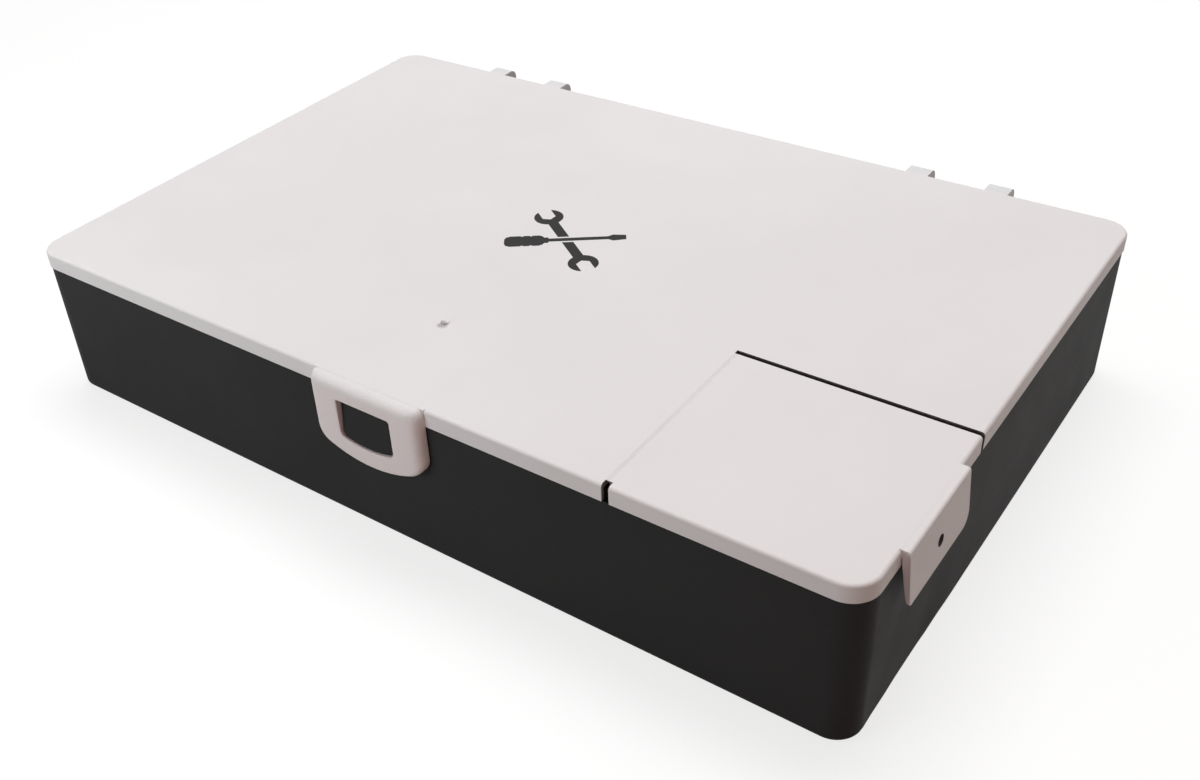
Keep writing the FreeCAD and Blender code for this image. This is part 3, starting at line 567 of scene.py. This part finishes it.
# %% [markdown]
# ## Making a piece in mesh code
#
# Each added piece is a list of corners in millimetres and a list of faces. One helper turns
# them into an object, smooths it where faces meet at less than a chosen angle, and hands it to
# the body that it moves with and to the colour slot of the plastic that it is made of. The
# others make rings of points and the skin between them. The latch, its window and the catch
# all have the same outline, like a shield: a flat head, straight sides and a bowed foot.

# %% Mesh helpers
def make_piece(name, corners_mm, faces, material, body, sharp_above=40.0):
    """An object from corners in millimetres. Edges that turn more than sharp_above stay sharp."""
    mesh = bpy.data.meshes.new(name)
    mesh.from_pydata([[v * MM for v in corner] for corner in corners_mm], [], faces)
    work = bmesh.new()
    work.from_mesh(mesh)
    bmesh.ops.recalc_face_normals(work, faces=work.faces)
    work.to_mesh(mesh)
    work.free()
    mesh.polygons.foreach_set("use_smooth", [True] * len(mesh.polygons))
    mesh.set_sharp_from_angle(angle=math.radians(sharp_above))
    mesh.materials.append(material)
    piece = bpy.data.objects.new(name, mesh)
    bpy.context.scene.collection.objects.link(piece)
    if body is not None:
        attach(piece, body)
    print("piece", name, "with", len(mesh.vertices), "corners and", len(mesh.polygons), "faces")
    return piece


def skin_rings(rings, closed):
    """Faces between rings of equally many points. closed joins the last ring to the first."""
    count = len(rings[0])
    faces = []
    for here in range(len(rings) if closed else len(rings) - 1):
        after = (here + 1) % len(rings)
        for i in range(count):
            j = (i + 1) % count
            faces.append((here * count + i, here * count + j,
                          after * count + j, after * count + i))
    return faces


def turn_steps(start, stop, steps):
    """Angles in degrees from start to stop, as radians, without the last one."""
    return [math.radians(start + (stop - start) * i / steps) for i in range(steps)]


def quarter_turn(steps):
    """Angles from 0 to 90 degrees as radians, with both ends."""
    return turn_steps(0, 90, steps) + [math.radians(90)]


HEAD_POINTS, CORNER_POINTS, SIDE_POINTS, BOW_POINTS = 5, 8, 6, 10


def shield(half, head, head_round, foot, bow, foot_round):
    """A closed outline in (x, z): flat head, straight sides, and a foot that bows down."""
    bow_middle = foot + bow
    foot_middle = bow_middle - math.sqrt((bow - foot_round) ** 2 - (half - foot_round) ** 2)
    lean = math.atan2(half - foot_round, bow_middle - foot_middle)
    side_top = head - head_round
    points = [((half - head_round) * i / HEAD_POINTS, head) for i in range(HEAD_POINTS)]
    points += [(half - head_round + head_round * math.sin(a), side_top + head_round * math.cos(a))
               for a in turn_steps(0, 90, CORNER_POINTS)]
    points += [(half, side_top + (foot_middle - side_top) * i / SIDE_POINTS)
               for i in range(SIDE_POINTS)]
    points += [(half - foot_round + foot_round * math.cos(a),
                foot_middle - foot_round * math.sin(a))
               for a in turn_steps(0, 90 - math.degrees(lean), CORNER_POINTS)]
    points += [(bow * math.sin(a), bow_middle - bow * math.cos(a))
               for a in turn_steps(math.degrees(lean), 0, BOW_POINTS)]
    points.append((0.0, foot))
    return points + [(-x, z) for x, z in reversed(points[1:-1])]


# For each point of a shield, how much it belongs to the foot: 0 at head and sides, 1 at the bow.
FOOT_SHARE = [0.0] * (HEAD_POINTS + CORNER_POINTS + SIDE_POINTS)
FOOT_SHARE += [i / CORNER_POINTS for i in range(CORNER_POINTS)] + [1.0] * (BOW_POINTS + 1)
FOOT_SHARE += list(reversed(FOOT_SHARE[1:-1]))
print("points round a shield outline:", len(FOOT_SHARE))

# %% [markdown]
# ## The latch loop
#
# The latch is one piece with the lid: the top plate runs on over the front edge, rolls down
# and hangs as a loop. A finger pulls its bowed foot forward, and it slips over the catch. Its
# corners are as round as soap, which a cut-out plate with a bevel would not give. Rings do:
# each ring is the same outline, a little smaller and further forward, and together they roll
# from the flat back over the rounded sides to the front face, and on through the window.

# %% Latch loop
LATCH_BACK, LATCH_FRONT = -106.52, -110.5
SIDE_ROLL, FOOT_ROLL, WINDOW_ROLL = 3.8, 0.9, 0.45
LATCH_HALF, LATCH_HEAD, LATCH_FOOT, LATCH_BOW = 22.75, 60.0, 30.8, 43.06
HEAD_CORNER, HEAD_CORNER_GROWTH, HEAD_ROLL_SHARE = 2.7, 0.8, 0.9
FOOT_CORNER, FOOT_CORNER_SHARE = 7.5, 0.8
WINDOW_HALF, WINDOW_HEAD, WINDOW_FOOT, WINDOW_BOW = 11.0, 53.3, 37.6, 38.6
WINDOW_HEAD_CORNER, WINDOW_FOOT_CORNER = 0.9, 2.5


def latch_outer(inset):
    """The loop's outline, taken in by a share of its rolls: 0 is the silhouette."""
    side, low = SIDE_ROLL * inset, FOOT_ROLL * inset
    return shield(LATCH_HALF - side, LATCH_HEAD - HEAD_ROLL_SHARE * side,
                  HEAD_CORNER + HEAD_CORNER_GROWTH * inset ** 0.5,
                  LATCH_FOOT + low, LATCH_BOW - low, FOOT_CORNER - FOOT_CORNER_SHARE * side)


def latch_window(outset):
    """The window's outline, let out by that many millimetres."""
    return shield(WINDOW_HALF + outset, WINDOW_HEAD + outset, WINDOW_HEAD_CORNER + outset,
                  WINDOW_FOOT - outset, WINDOW_BOW + outset, WINDOW_FOOT_CORNER + outset)


rings = [[(x, LATCH_BACK, z) for x, z in latch_outer(0.0)]]
for angle in quarter_turn(9):
    ring = []
    for (x, z), low in zip(latch_outer(1 - math.cos(angle)), FOOT_SHARE):
        roll = SIDE_ROLL + (FOOT_ROLL - SIDE_ROLL) * low
        ring.append((x, LATCH_FRONT + roll * (1 - math.sin(angle)), z))
    rings.append(ring)
outside = rings[-1]
inside = [(x, LATCH_FRONT, z) for x, z in latch_window(WINDOW_ROLL)]
for share in (0.33, 0.67):
    rings.append([tuple(a + (b - a) * share for a, b in zip(out, inn))
                  for out, inn in zip(outside, inside)])
for angle in quarter_turn(5):
    rings.append([(x, LATCH_FRONT + WINDOW_ROLL * (1 - math.cos(angle)), z)
                  for x, z in latch_window(WINDOW_ROLL * (1 - math.sin(angle)))])
rings.append([(x, LATCH_BACK, z) for x, z in latch_window(0.0)])
latch = make_piece("latch_loop_rolled", [p for ring in rings for p in ring],
                   skin_rings(rings, closed=True), ivory_latch_painted_warm, "latch")
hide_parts("latch_loop")

# %% [markdown]
# ## The catch behind the window
#
# The window hooks over a wedge on the tub's front wall. At its head the wedge stands 2 mm
# behind the face of the loop, so that the loop slides down over it, and it comes forward
# towards its foot, where it holds. A straight wedge is simple to model, but this face is
# slightly hollow, so it follows a list of heights. It is built of rings as the loop is, and
# the last rings close in on the middle of the face.

# %% Catch
CATCH_SLOPE = [(52.9, -108.4), (49.0, -108.7), (45.5, -109.0), (42.2, -109.4), (39.6, -109.8),
               (38.0, -110.15)]
CATCH_HALF, CATCH_HEAD, CATCH_FOOT, CATCH_BOW = 10.6, 52.9, 38.0, 38.2
CATCH_HEAD_CORNER, CATCH_FOOT_CORNER, CATCH_ROUND = 0.9, 2.1, 0.35
CATCH_MIDDLE = 45.4
WALL_FACE = -106.0


def catch_face(z):
    """How far forward the catch's face is at a height."""
    for (high, a), (low, b) in zip(CATCH_SLOPE, CATCH_SLOPE[1:]):
        if z >= low:
            return a + (b - a) * (high - z) / (high - low)
    return CATCH_SLOPE[-1][1]


def catch_outline(inset):
    """The catch's outline, taken in by that many millimetres."""
    return shield(CATCH_HALF - inset, CATCH_HEAD - inset, CATCH_HEAD_CORNER - 0.5 * inset,
                  CATCH_FOOT + inset, CATCH_BOW - inset, CATCH_FOOT_CORNER - inset)


rings = [[(x, WALL_FACE, z) for x, z in catch_outline(0.0)]]
for angle in quarter_turn(4):
    rings.append([(x, catch_face(z) + CATCH_ROUND * (1 - math.sin(angle)), z)
                  for x, z in catch_outline(CATCH_ROUND * (1 - math.cos(angle)))])
rim = rings[-1]
for share in (0.8, 0.6, 0.4, 0.2):
    ring = [(x * share, CATCH_MIDDLE + (z - CATCH_MIDDLE) * share) for x, _, z in rim]
    rings.append([(x, catch_face(z), z) for x, z in ring])
corners = [p for ring in rings for p in ring] + [(0.0, catch_face(CATCH_MIDDLE), CATCH_MIDDLE)]
count = len(rim)
last = (len(rings) - 1) * count
faces = skin_rings(rings, closed=False)
faces += [(last + i, last + (i + 1) % count, len(corners) - 1) for i in range(count)]
faces.append(tuple(range(count)))
catch = make_piece("catch_wedge", corners, faces, charcoal_tub, "tub")
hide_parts("front_catch")

# %% [markdown]
# ## Soft edges on the small mouldings
#
# The measured parts end in sharp edges, and no moulded part does. The pull tab, the hinge arms
# and the dividers are small enough for their edges to show, so each gets a copy with real
# rounds, which takes its place. The copy first melts its flat triangles together, because
# a bevel runs cleanly only along edges with whole faces on both sides. Bevelling in mesh code
# keeps the rounds in the model itself, where a shading trick would be lost at a silhouette.

# %% Softened copies
FLAT_WITHIN, CORNER_ABOVE = math.radians(0.6), math.radians(38)
SAME_POINT, ON_PLANE = 1e-6, 1e-7


def soften(node, name, radius, material, body, levels=(), bend=None, wanted=None):
    """A copy of a measured part with its corners rounded. levels are heights in millimetres at
    which it is cut across, so that bend can then move its points."""
    work = bmesh.new()
    work.from_mesh(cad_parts[node].data)
    bmesh.ops.remove_doubles(work, verts=work.verts, dist=SAME_POINT)
    bmesh.ops.dissolve_limit(work, angle_limit=FLAT_WITHIN, verts=work.verts, edges=work.edges)
    for height in levels:
        everything = work.verts[:] + work.edges[:] + work.faces[:]
        bmesh.ops.bisect_plane(work, geom=everything, dist=ON_PLANE,
                               plane_co=(0, 0, height * MM), plane_no=(0, 0, 1))
    if bend is not None:
        for point in work.verts:
            point.co = Vector(bend(*(v / MM for v in point.co))) * MM
    work.normal_update()
    corners = [edge for edge in work.edges
               if len(edge.link_faces) == 2 and edge.calc_face_angle() > CORNER_ABOVE
               and (wanted is None or wanted([p.co / MM for p in edge.verts]))]
    bmesh.ops.bevel(work, geom=corners, offset=radius * MM, offset_type="OFFSET", segments=3,
                    profile=0.5, affect="EDGES", clamp_overlap=True)
    bmesh.ops.remove_doubles(work, verts=work.verts, dist=SAME_POINT)
    points = [tuple(v / MM for v in point.co) for point in work.verts]
    work.verts.index_update()
    faces = [tuple(p.index for p in face.verts) for face in work.faces]
    work.free()
    piece = make_piece(name, points, faces, material, body)
    piece.modifiers.new("large faces stay flat", "WEIGHTED_NORMAL").keep_sharp = True
    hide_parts(node)


# %% [markdown]
# ## The pull tab
#
# The tab hangs from the flap's edge and leans out for a fingertip. Its outer face is flat, but
# behind, it thins towards the foot, so that the strip of its side that shows narrows from 2 mm
# to half of that. The copy is cut across at a few heights, and its back points are drawn
# outwards before the edges are rounded. The hole keeps a crisp edge, and the top edge already
# has its round.

# %% Pull tab
TAB_TOP, TAB_FOOT, TAB_FACE, TAB_LEAN = 60.0, 41.7, 167.35, 1.65
TAB_THICK_FROM, TAB_FOOT_THICKNESS, TAB_THICKNESS = 54.0, 0.9, 2.0
TAB_LEVELS = (56.0, 54.0, 51.5, 49.0, 46.5, 44.5, 43.0)
TAB_ROOT, TAB_TOP_ROUND, TAB_EDGE_ROUND = 165.2, 59.9, 0.35
TAB_HOLE, HOLE_CLEARANCE = (-67.0, 49.4), 3.0


def thin_the_foot(x, y, z):
    """Draws the tab's back outwards below the root, more and more towards the foot."""
    face = TAB_FACE + TAB_LEAN * (TAB_TOP - z) / (TAB_TOP - TAB_FOOT)
    if z > TAB_THICK_FROM or face - x < TAB_THICKNESS / 2:
        return x, y, z
    low = (TAB_THICK_FROM - z) / (TAB_THICK_FROM - TAB_FOOT)
    thickness = TAB_THICKNESS + (TAB_FOOT_THICKNESS - TAB_THICKNESS) * low ** 1.5
    return face - thickness, y, z


def on_tab_outline(ends):
    """True for the edges round the tab, away from its root, its top round and its hole."""
    return all(x > TAB_ROOT and z < TAB_TOP_ROUND
               and math.hypot(y - TAB_HOLE[0], z - TAB_HOLE[1]) > HOLE_CLEARANCE
               for x, y, z in ends)


soften("flap_tab", "pull_tab", TAB_EDGE_ROUND, ivory_lid, "flap",
       levels=TAB_LEVELS, bend=thin_the_foot, wanted=on_tab_outline)

# %% [markdown]
# ## Hinge arms and dividers
#
# These keep their shapes and only lose their sharp corners. The arms are left alone where they
# grow out of the lid, so that no groove opens there, and inside their eyes, which run on the
# pins. The dividers are left alone at their foot, which stands on the floor.

# %% Softened small parts
ARM_ROUND, ARM_ROOT, ARM_TIP, ABOVE_EYE = 0.45, 106.6, 111.5, 51.2
DIVIDER_ROUND, ABOVE_FOOT = 0.4, 2.6


def on_arm_outside(ends):
    """True for the edges of an arm that lie clear of the lid and of its eye."""
    along, heights = [y for _, y, _ in ends], [z for _, _, z in ends]
    return min(along) > ARM_ROOT and max(along) > ARM_TIP and min(heights) > ABOVE_EYE


def above_foot(ends):
    """True for the edges of a divider that don't touch the floor."""
    return min(z for _, _, z in ends) > ABOVE_FOOT


for number in (1, 2, 3, 4):
    soften(f"hinge_arm_{number}", f"hinge_hook_{number}", ARM_ROUND, ivory_clips, "lid",
           wanted=on_arm_outside)
for side in ("left", "middle", "right"):
    soften(f"divider_{side}", f"divider_sheet_{side}", DIVIDER_ROUND, grey_divider, "tub",
           wanted=above_foot)

# %% [markdown]
# ## The finger recess
#
# Below the tab the right wall is pressed in by 0.6 mm in a wide circle, which leaves room for a
# fingertip. Its edge is hardly visible, because it fades out over several millimetres. The
# measured part has the same circle with a short slope. This skin lies over that slope and runs
# gently from the wall down to the pressed-in floor. It follows the rounds of the tub's front
# corner and foot, and its rim is tucked just under the wall, where no step shows.

# %% Finger recess
RECESS_Y, RECESS_Z, RECESS_R = -68.45, 14.0, 33.5
WALL_X, RECESS_X, FADE_FROM = 164.6, 164.01, 10.0
CORNER_START, CORNER_ROUND, FOOT_ROUND = -97.4, 8.7, 2.3
HIDDEN, SKIN_R, SKIN_THICKNESS = 0.004, RECESS_R + 1.0, 0.5
SKIN_FOOT, SKIN_TOP_ANGLE = 0.03, math.radians(88)
ROWS, COLUMNS = 64, 84


def wall_face(y, z):
    """How far out the plain wall lies, with the round of the front corner and of the foot."""
    x = WALL_X
    if y < CORNER_START:
        x += math.sqrt(CORNER_ROUND ** 2 - (CORNER_START - y) ** 2) - CORNER_ROUND
    if z < FOOT_ROUND:
        x += math.sqrt(FOOT_ROUND ** 2 - (FOOT_ROUND - z) ** 2) - FOOT_ROUND
    return x


def recess_face(y, z):
    """How far out the skin lies. Beyond the circle it hides just under the wall."""
    away = math.hypot(y - RECESS_Y, z - RECESS_Z)
    t = min(1.0, max(0.0, (away - FADE_FROM) / (RECESS_R - FADE_FROM)))
    fade = RECESS_X + (WALL_X - RECESS_X) * t * t * (3 - 2 * t)
    return min(fade, wall_face(y, z)) - (HIDDEN if t == 1.0 else 0.0)


lowest = math.asin((SKIN_FOOT - RECESS_Z) / SKIN_R)
front_points, back_points = [], []
for row in range(ROWS + 1):
    angle = lowest + (SKIN_TOP_ANGLE - lowest) * row / ROWS
    z, half = RECESS_Z + SKIN_R * math.sin(angle), SKIN_R * math.cos(angle)
    for column in range(COLUMNS + 1):
        y = RECESS_Y + half * (2 * column / COLUMNS - 1)
        x = recess_face(y, z)
        front_points.append((x, y, z))
        back_points.append((x - SKIN_THICKNESS, y, z))
span = COLUMNS + 1
layer = len(front_points)
faces = [(r * span + c, r * span + c + 1, (r + 1) * span + c + 1, (r + 1) * span + c)
         for r in range(ROWS) for c in range(COLUMNS)]
faces += [tuple(layer + i for i in face) for face in faces]
rim = ([c for c in range(COLUMNS)] + [r * span + COLUMNS for r in range(ROWS)]
       + [ROWS * span + c for c in range(COLUMNS, 0, -1)] + [r * span for r in range(ROWS, 0, -1)])
faces += [(a, b, layer + b, layer + a) for a, b in zip(rim, rim[1:] + rim[:1])]
make_piece("finger_recess", front_points + back_points, faces, charcoal_tub, "tub",
           60.0)

# %% [markdown]
# ## The crease of the corner flap
#
# The flap is not a separate part: the plate is thinned to a strip of 0.4 mm, which bends. From
# above only a faint line shows where it was pressed in. The strip is one mesh with a shallow
# groove.

# %% Crease
CREASE_LEFT, CREASE_RIGHT = 86.4, 87.6
CREASE_FRONT, CREASE_BACK = -104.0, -32.5
PLATE_TOP, STRIP_UNDERSIDE, GROOVE_DEPTH = 60.0, 59.6, 0.05
ACROSS, ALONG = 12, 24
corners, faces = [], []
for j in range(ALONG + 1):
    y = CREASE_FRONT + (CREASE_BACK - CREASE_FRONT) * j / ALONG
    section = []
    for i in range(ACROSS + 1):
        share = i / ACROSS
        dip = GROOVE_DEPTH * math.sin(math.pi * share) ** 2
        section.append((CREASE_LEFT + (CREASE_RIGHT - CREASE_LEFT) * share, y, PLATE_TOP - dip))
    section += [(x, y, STRIP_UNDERSIDE) for x, _, _ in reversed(section)]
    corners += section
ring_size = 2 * (ACROSS + 1)
for j in range(ALONG):
    for i in range(ring_size):
        k = (i + 1) % ring_size
        faces.append((j * ring_size + i, j * ring_size + k,
                      (j + 1) * ring_size + k, (j + 1) * ring_size + i))
faces += [tuple(range(ring_size)), tuple(range(ALONG * ring_size, (ALONG + 1) * ring_size))]
# The strip's darker ivory is painted shade along the crease.
crease = make_piece("flap_crease", corners, faces, ivory_crease_painted_shade, None)
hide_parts("flap_hinge_web")
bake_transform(crease)

# %% [markdown]
# ## The printed pictogram
#
# A plain pictogram about 40 mm wide is printed on the middle of the lid: a spanner crossed with
# a screwdriver. It could be a mask in the lid's material, but a thin film of ink as its own
# piece keeps crisp edges at any distance. The spanner has a gap where the screwdriver passes
# over it, as pictograms do, so it is two pieces.

# %% Pictogram
PRINT_MIDDLE = (0.6, -1.5)
PRINT_LEAN = 35.0
INK_TOP, INK_UNDERSIDE = 60.04, 59.99


def print_flat(name, outline, lean):
    """A flat print from an outline in its own directions, turned by lean degrees."""
    c, s = math.cos(math.radians(lean)), math.sin(math.radians(lean))
    flat = [(PRINT_MIDDLE[0] + u * c - v * s, PRINT_MIDDLE[1] + u * s + v * c) for u, v in outline]
    size = len(flat)
    corners = [(x, y, INK_TOP) for x, y in flat] + [(x, y, INK_UNDERSIDE) for x, y in flat]
    faces = [tuple(range(size)), tuple(range(size, 2 * size))]
    faces += [(i, (i + 1) % size, size + (i + 1) % size, size + i) for i in range(size)]
    return make_piece(name, corners, faces, black_print, "lid", 30.0)


def spanner_half():
    """One end of the spanner: a shaft that widens to a round head with an open jaw."""
    half_shaft, reach, head, half_jaw, cut = 1.9, 18.0, 5.4, 2.5, 2.1
    jaw_mouth, jaw_depth = 0.4, 1.9
    slant = half_shaft / math.tan(math.radians(2 * PRINT_LEAN))
    joint = 180 - math.degrees(math.asin(half_shaft / head))
    lip = math.degrees(math.asin(half_jaw / head))
    upper = [(reach + head * math.cos(a), head * math.sin(a))
             for a in turn_steps(joint, lip, 14) + [math.radians(lip)]]
    jaw = [(reach - jaw_mouth, half_jaw), (reach - jaw_depth, 0.0),
           (reach - jaw_mouth, -half_jaw)]
    lower = [(u, -v) for u, v in reversed(upper)]
    return [(cut + slant, half_shaft)] + upper + jaw + lower + [(cut - slant, -half_shaft)]


def screwdriver():
    """A ribbed handle, a collar, a thin shaft and a flat tip, as one outline."""
    upper = [(-22.0, 1.6), (-21.4, 2.9), (-20.0, 3.6), (-16.2, 3.6), (-15.6, 3.0), (-15.0, 3.6),
             (-13.0, 3.6), (-12.4, 3.0), (-11.8, 3.6), (-9.4, 3.6), (-8.2, 2.9), (-7.6, 1.9),
             (-6.2, 1.9), (-6.0, 1.05), (15.2, 1.05), (17.0, 2.1), (21.6, 1.5)]
    return upper + [(u, -v) for u, v in reversed(upper)]


print_flat("print_spanner_right", spanner_half(), -PRINT_LEAN)
print_flat("print_spanner_left", spanner_half(), 180 - PRINT_LEAN)
print_flat("print_screwdriver", screwdriver(), PRINT_LEAN)

# %% [markdown]
# ## Floor and background
#
# The box stands on plain white. Stronger lamps would make a grey floor white too, but they
# would wash out the ivory lid. So the floor is a grey board with a little glow added, which
# only some rays see: those from the camera, in a reflection or through something clear. The
# board's own shading keeps the shadow under the box. The air above it works the same way.

# %% Floor and background
FLOOR_HALF, BOARD_GREY, LIFT, AIR_LIGHT = 6.0, (0.27, 0.27, 0.27, 1), 0.765, 0.11


def seen_by_eye(tree):
    """1 for rays from the camera, in gloss or through glass, and 0 for rays that light."""
    ray = add(tree, "LightPath", "which ray").outputs
    seen = calc(tree, "seen or in gloss", "MAXIMUM", ray["Is Camera Ray"], ray["Is Glossy Ray"])
    return calc(tree, "or through glass", "MAXIMUM", seen, ray["Is Transmission Ray"])


floor_mesh = bpy.data.meshes.new("studio_floor")
floor_mesh.from_pydata([(-FLOOR_HALF, -FLOOR_HALF, 0), (FLOOR_HALF, -FLOOR_HALF, 0),
                        (FLOOR_HALF, FLOOR_HALF, 0), (-FLOOR_HALF, FLOOR_HALF, 0)],
                       [], [(0, 1, 2, 3)])
floor = bpy.data.objects.new("studio_floor", floor_mesh)
bpy.context.scene.collection.objects.link(floor)

pale_floor = bpy.data.materials.new("pale_floor")
pale_floor.use_nodes = True
tree = pale_floor.node_tree
tree.nodes.remove(tree.nodes["Principled BSDF"])
matt = plug(tree, add(tree, "BsdfDiffuse", "matt board"), Color=BOARD_GREY)
glow = plug(tree, add(tree, "Emission", "lift to white"), Color=(1, 1, 1, 1), Strength=LIFT)
lifted = add(tree, "AddShader", "board and lift")
feed(tree, lifted.inputs[0], matt.outputs[0])
feed(tree, lifted.inputs[1], glow.outputs[0])
choose = add(tree, "MixShader", "lift only what is seen")
for number, value in enumerate((seen_by_eye(tree), matt.outputs[0], lifted.outputs[0])):
    feed(tree, choose.inputs[number], value)
plug(tree, tree.nodes["Material Output"], Surface=choose.outputs[0])
floor_mesh.materials.append(pale_floor)

world = bpy.data.worlds.new("studio_air")
world.use_nodes = True
bpy.context.scene.world = world
tree = world.node_tree
air_strength = between(tree, "white where seen", seen_by_eye(tree), 0, 1, AIR_LIGHT, 1.0)
plug(tree, tree.nodes["Background"], Color=(1, 0.98, 0.97, 1), Strength=air_strength)
print("floor of", 2 * FLOOR_HALF, "m, air light", AIR_LIGHT)

# %% [markdown]
# ## Lamps
#
# The light in the picture is soft and comes mostly from above and a little behind. The front
# wall is brighter and cooler at its left, and the right wall gets warmer and weaker light that
# grows towards the back. One big lamp could not do both, so small softboxes fill each side.

# %% Lamps
def soft_lamp(name, place, target, size, power, colour=(1, 1, 1)):
    """An oblong studio softbox at place, turned to target."""
    light = bpy.data.lights.new(name, "AREA")
    light.shape = "RECTANGLE"
    light.size, light.size_y = size
    light.energy = power
    light.color = colour
    lamp = bpy.data.objects.new(name, light)
    turn = (Vector(target) - Vector(place)).to_track_quat("-Z", "Y").to_matrix().to_4x4()
    lamp.matrix_world = Matrix.Translation(place) @ turn
    bpy.context.scene.collection.objects.link(lamp)
    print("lamp", name, "of", size, "m with", power, "W")


soft_lamp("overhead_softbox", (-0.14, 0.32, 1.25), (0.0, 0.0, 0.0), (1.1, 0.6), 14.4)
soft_lamp("front_left_softbox", (-0.18, -0.47, 0.16), (-0.05, -0.1, 0.04), (0.32, 0.2), 0.84,
          (0.93, 1.0, 0.99))
soft_lamp("warm_right_fill", (0.80, -0.25, 0.30), (0.17, -0.05, 0.03), (0.4, 0.3), 0.31,
          (1.0, 0.56, 0.20))
soft_lamp("back_right_fill", (0.85, 0.55, 0.30), (0.17, 0.05, 0.03), (0.4, 0.3), 0.54,
          (1.0, 0.91, 0.84))
soft_lamp("warm_front_fill", (0.55, -0.8, 0.30), (0.10, -0.1, 0.03), (0.4, 0.3), 0.62,
          (1.0, 0.46, 0.42))

# %% [markdown]
# ## Colours as written
#
# The Standard view shows a colour as it is written, without a film look.

# %% View
bpy.context.scene.view_settings.view_transform = "Standard"
